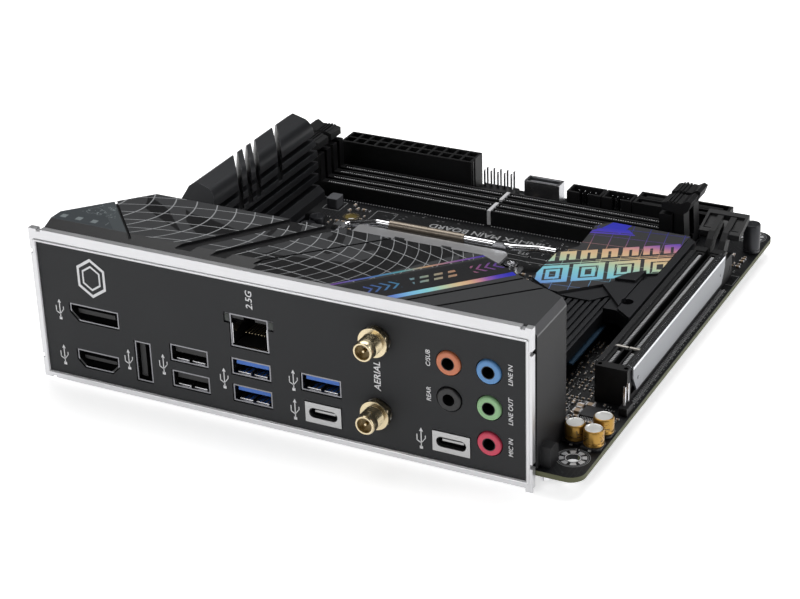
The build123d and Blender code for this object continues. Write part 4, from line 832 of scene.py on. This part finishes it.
for rectangle in ((-6.0, 33.0, 33.2, 36.6), (13.4, 38.6, 73.0, 81.6), (-20.2, -4.6, 75.2, 82.2),
                  (70.6, 78.8, -54.6, -46.6), (-65.0, -58.4, 44.4, 51.6), (60.0, 71.0, -51.0, -44.4),
                  (-46.0, -38.0, 38.0, 50.0), (36.0, 66.8, -50.2, -47.6), (81.0, 84.6, 43.0, 50.0)):
    frame_lines(*rectangle)
for x, y in spots((81.9, 83.9), (-42.0, 38.0), 2.0, 2.4):
    length = rng.uniform(0.5, 1.3)
    silk.add(slab([(x, y), (x + 0.2, y), (x + 0.2, y + length), (x, y + length)], 0.0, SILK))
for _ in range(70):
    x, y = rng.uniform(-42, 34), rng.uniform(30.5, 52)
    if is_clear(x, y):
        silk.add(slab([(x, y), (x + 0.9, y), (x + 0.9, y + 0.16), (x, y + 0.16)], 0.0, SILK))
silk.show("silk_screen_lines", "board", "pcb", "silk", smooth=10)


def lettering(name, words, size, finish, matrix, body="board", shear=0.0):
    """Plain generic words as a thin raised mesh that rides on a CAD body."""
    curve = bpy.data.curves.new(name, "FONT")
    curve.body, curve.size, curve.extrude = words, size * MM, INK * MM
    curve.align_x, curve.align_y, curve.shear = "CENTER", "CENTER", shear
    curve.offset = size * MM * 0.012
    curve.resolution_u = 3
    text = bpy.data.objects.new(name + "_text", curve)
    bpy.context.scene.collection.objects.link(text)
    bpy.context.view_layer.update()
    mesh = bpy.data.meshes.new_from_object(text.evaluated_get(bpy.context.evaluated_depsgraph_get()))
    bpy.data.objects.remove(text)
    mesh.name = name
    move = matrix.copy()
    move.translation = move.translation * MM
    mesh.transform(move)
    mesh.materials.clear()
    mesh.materials.append(FINISH[finish])
    made = bpy.data.objects.new(name, mesh)
    bpy.context.scene.collection.objects.link(made)
    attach(made, body)


def on_plate(x, z):
    """A place on the port plate's face, for words that read upwards."""
    return Matrix.Translation((x, PLATE_Y - 0.01, z)) @ Matrix.Rotation(math.radians(90), 4, "X") @ \
        Matrix.Rotation(math.radians(90), 4, "Z")


RIGHT_LABELS_X, LEFT_LABELS_X = 65.6, 41.0
for key, words, size, x, z in (("line_in", "LINE IN", 1.9, RIGHT_LABELS_X, 29.0),
                               ("line_out", "LINE OUT", 1.9, RIGHT_LABELS_X, 17.8),
                               ("mic_in", "MIC IN", 1.9, RIGHT_LABELS_X, 6.5),
                               ("sub", "C/SUB", 1.9, LEFT_LABELS_X, 29.0),
                               ("rear", "REAR", 1.9, LEFT_LABELS_X, 17.8),
                               ("speed", "2.5G", 3.0, -15.0, 35.3),
                               ("aerial", "AERIAL", 2.9, 25.2, 19.9)):
    lettering("label_" + key, words, size, "label", on_plate(x, z), shear=0.15)

turned = Matrix.Rotation(math.radians(180), 4, "Z")
for key, words, size, x, y in (("large", "MINI-ITX MAIN BOARD", 4.3, -2.0, 46.4),
                               ("small", "SOCKET", 2.6, -32.0, 42.4),
                               ("number", "5T2", 2.4, 14.0, 38.6)):
    lettering("board_words_" + key, words, size, "silk", Matrix.Translation((x, y, 0.01)) @ turned)

marks = Shape()


def mark(outline, x, z):
    """A flat printed shape on the plate, from its outline across and up."""
    upright = Matrix.Translation((x, PLATE_Y - 0.01, z)) @ Matrix.Rotation(math.radians(90), 4, "X")
    marks.add(slab(outline, 0.0, SILK), matrix=upright)


# A plain hexagon emblem, and a plug-and-arrow symbol beside each data port.
EMBLEM_AT = (-68.8, 31.6)
EMBLEM_STRETCH = 1.15
HEXAGON = [(math.cos(math.radians(60 * k + 30)), math.sin(math.radians(60 * k + 30))) for k in range(6)]
for here, there in zip(HEXAGON, HEXAGON[1:] + HEXAGON[:1]):
    for outer, inner in ((5.6, 4.7), (3.6, 3.0)):
        ends = [(here, outer), (there, outer), (there, inner), (here, inner)]
        mark([(ax * radius, az * radius * EMBLEM_STRETCH) for (ax, az), radius in ends], *EMBLEM_AT)
for x, z in ((-58.2, 7.2), (-46.0, 8.2), (-25.2, 8.2), (-2.0, 12.7), (-2.0, 3.2), (38.2, 3.3), (-81.4, 19.2),
             (-81.6, 3.8)):
    mark([(-0.16, -3.0), (0.16, -3.0), (0.16, 2.2), (-0.16, 2.2)], x, z)
    mark([(-0.6, 2.0), (0.6, 2.0), (0.0, 3.2)], x, z)
    mark([(-0.5, -3.6), (0.5, -3.6), (0.5, -2.7), (-0.5, -2.7)], x, z)
    for side in (-1, 1):
        prong, low = side * 1.3, side * 0.5
        mark([(prong - 0.14, low - 0.6), (prong + 0.14, low - 0.6), (prong + 0.14, 0.9),
              (prong - 0.14, 0.9)], x, z)
        mark([(0.0, -1.9), (0.0, -1.55), (prong, low - 0.3), (prong, low - 0.7)][::side], x, z)
marks.show("plate_marks", "board", "plate_black", "label", smooth=10)

# ------------------------------------------------------------------ inside the ports
springs = Shape()
for port in ("usb2_high", "usb2_low", "usb3_high", "usb3_low", "usb3_single"):
    (x0, x1), (z0, z1) = PORTS[port]
    middle = (x0 + x1) / 2
    for side in (-1, 1):
        springs.add(block(sorted((middle + side * 0.5, middle + side * 4.9)), (PLATE_Y + 0.9, PLATE_Y + 7.0),
                          (z0 + 0.66, z0 + 1.15), 0.18))
    for k in range(4):
        cx = middle + (k - 1.5) * 2.3
        springs.add(block((cx - 0.5, cx + 0.5), (PLATE_Y + 1.9, PLATE_Y + 9.0), (z1 - 2.85, z1 - 2.52), 0.1,
                          finish=1))
(x0, x1), (z0, z1) = PORTS["lan"]
middle = (x0 + x1) / 2
for k in range(8):
    cx = middle + (k - 3.5) * 1.02
    springs.add(block((cx - 0.2, cx + 0.2), (PLATE_Y + 4.2, PLATE_Y + 11.5), (z0 + 3.0, z0 + 3.3), 0.08,
                      finish=1))
for side in (-1, 1):
    inner = x0 + 0.66 if side < 0 else x1 - 0.66
    springs.add(block(sorted((inner, inner - side * 0.3)), (PLATE_Y + 0.5, PLATE_Y + 6.0),
                      (z0 + 1.0, z1 - 3.4), 0.1))
springs.show("port_springs", "board", "steel", "nickel", "contact_gold")

# Lamps beside the network jack.
lamps = Shape()
for side in (-1, 1):
    cx = middle + side * 7.2
    lamps.add(block((cx - 0.85, cx + 0.85), (PLATE_Y + 0.25, PLATE_Y + 1.0), (27.05, 29.55), 0.2))
lamps.show("jack_lamps", "board", "thermal_pad", "lamp_green")

# ------------------------------------------------------------------ screw of the socket's clamp
screw = Shape()
screw.add(lathe([(0, 0), (1.55, 0), (1.6, 0.35), (1.35, 0.7), (0.8, 0.85), (0.75, 0.6), (0, 0.55)], 24),
          (66.6, -3.0, 8.35))
screw.show("clamp_screw_head", "board", "nickel", "nickel")

# ------------------------------------------------------------------ camera, light and floor
scene = bpy.context.scene
scene.view_settings.view_transform = "Standard"

CAMERA_AT = Vector((0.2682, -0.5368, 0.3028))
LOOK_AT = Vector((0.00078, -0.02518, 0.010))
ROLL = math.radians(-1.908)
FOCAL_LENGTH = 94.86
camera = bpy.data.objects.new("camera", bpy.data.cameras.new("camera"))
camera.data.sensor_width = 36.0
camera.data.lens = FOCAL_LENGTH
camera.data.clip_start = 0.01
scene.collection.objects.link(camera)
ahead = (LOOK_AT - CAMERA_AT).normalized()
level = ahead.cross(Vector((0, 0, 1))).normalized()
down = ahead.cross(level)
right = level * math.cos(ROLL) - down * math.sin(ROLL)
down = level * math.sin(ROLL) + down * math.cos(ROLL)
camera.matrix_world = Matrix.Translation(CAMERA_AT) @ Matrix((right, -down, -ahead)).transposed().to_4x4()
scene.camera = camera


def softbox(name, at, aim, size, power):
    """A soft area light aimed at a point, in metres and watts."""
    light = bpy.data.lights.new(name, "AREA")
    light.shape, light.size, light.size_y = "RECTANGLE", *size
    light.energy = power
    lamp = bpy.data.objects.new(name, light)
    scene.collection.objects.link(lamp)
    lamp.location = at
    lamp.rotation_euler = (Vector(aim) - Vector(at)).to_track_quat("-Z", "Y").to_euler()


softbox("top_light", (-0.15, 0.35, 0.95), (0, 0, 0), (1.1, 0.7), 8.5)
softbox("right_light", (1.0, 0.1, 0.45), (0.05, 0, 0), (0.5, 0.9), 4.0)
softbox("front_light", (-0.35, -1.15, 0.55), (0, -0.05, 0.02), (0.9, 0.6), 5.5)

# The sky's strength rises from the horizon up.
HORIZON, OVERHEAD = 0.16, 0.78
world = bpy.data.worlds.new("studio")
world.use_nodes = True
sky = world.node_tree
height = Field(node(sky, "ShaderNodeSeparateXYZ",
                    {0: node(sky, "ShaderNodeTexCoord").outputs["Generated"]}).outputs[2])
strength = height.clamped() * (OVERHEAD - HORIZON) + HORIZON
sky.links.new(strength.socket, sky.nodes["Background"].inputs["Strength"])
scene.world = world

FLOOR_HALF = 3.0
FLOOR_GLOW = 0.62
floor_z = cad_box[0][2] - 0.0002
floor_mesh = bpy.data.meshes.new("floor")
corners = [(sx * FLOOR_HALF, sy * FLOOR_HALF, floor_z) for sx, sy in ((-1, -1), (1, -1), (1, 1), (-1, 1))]
floor_mesh.from_pydata(corners, [], [[0, 1, 2, 3]])
floor_mesh.materials.append(material("pale_floor", (0.93, 0.93, 0.93), 0.9, vary=0.01, patch=300, grain=1.5,
                                     depth=0.01, worn=0, emission_color=(1.0, 1.0, 1.0, 1.0),
                                     emission_strength=FLOOR_GLOW))
floor = bpy.data.objects.new("floor", floor_mesh)
scene.collection.objects.link(floor)

# ------------------------------------------------------------------ last update of the view layer
bpy.context.view_layer.update()
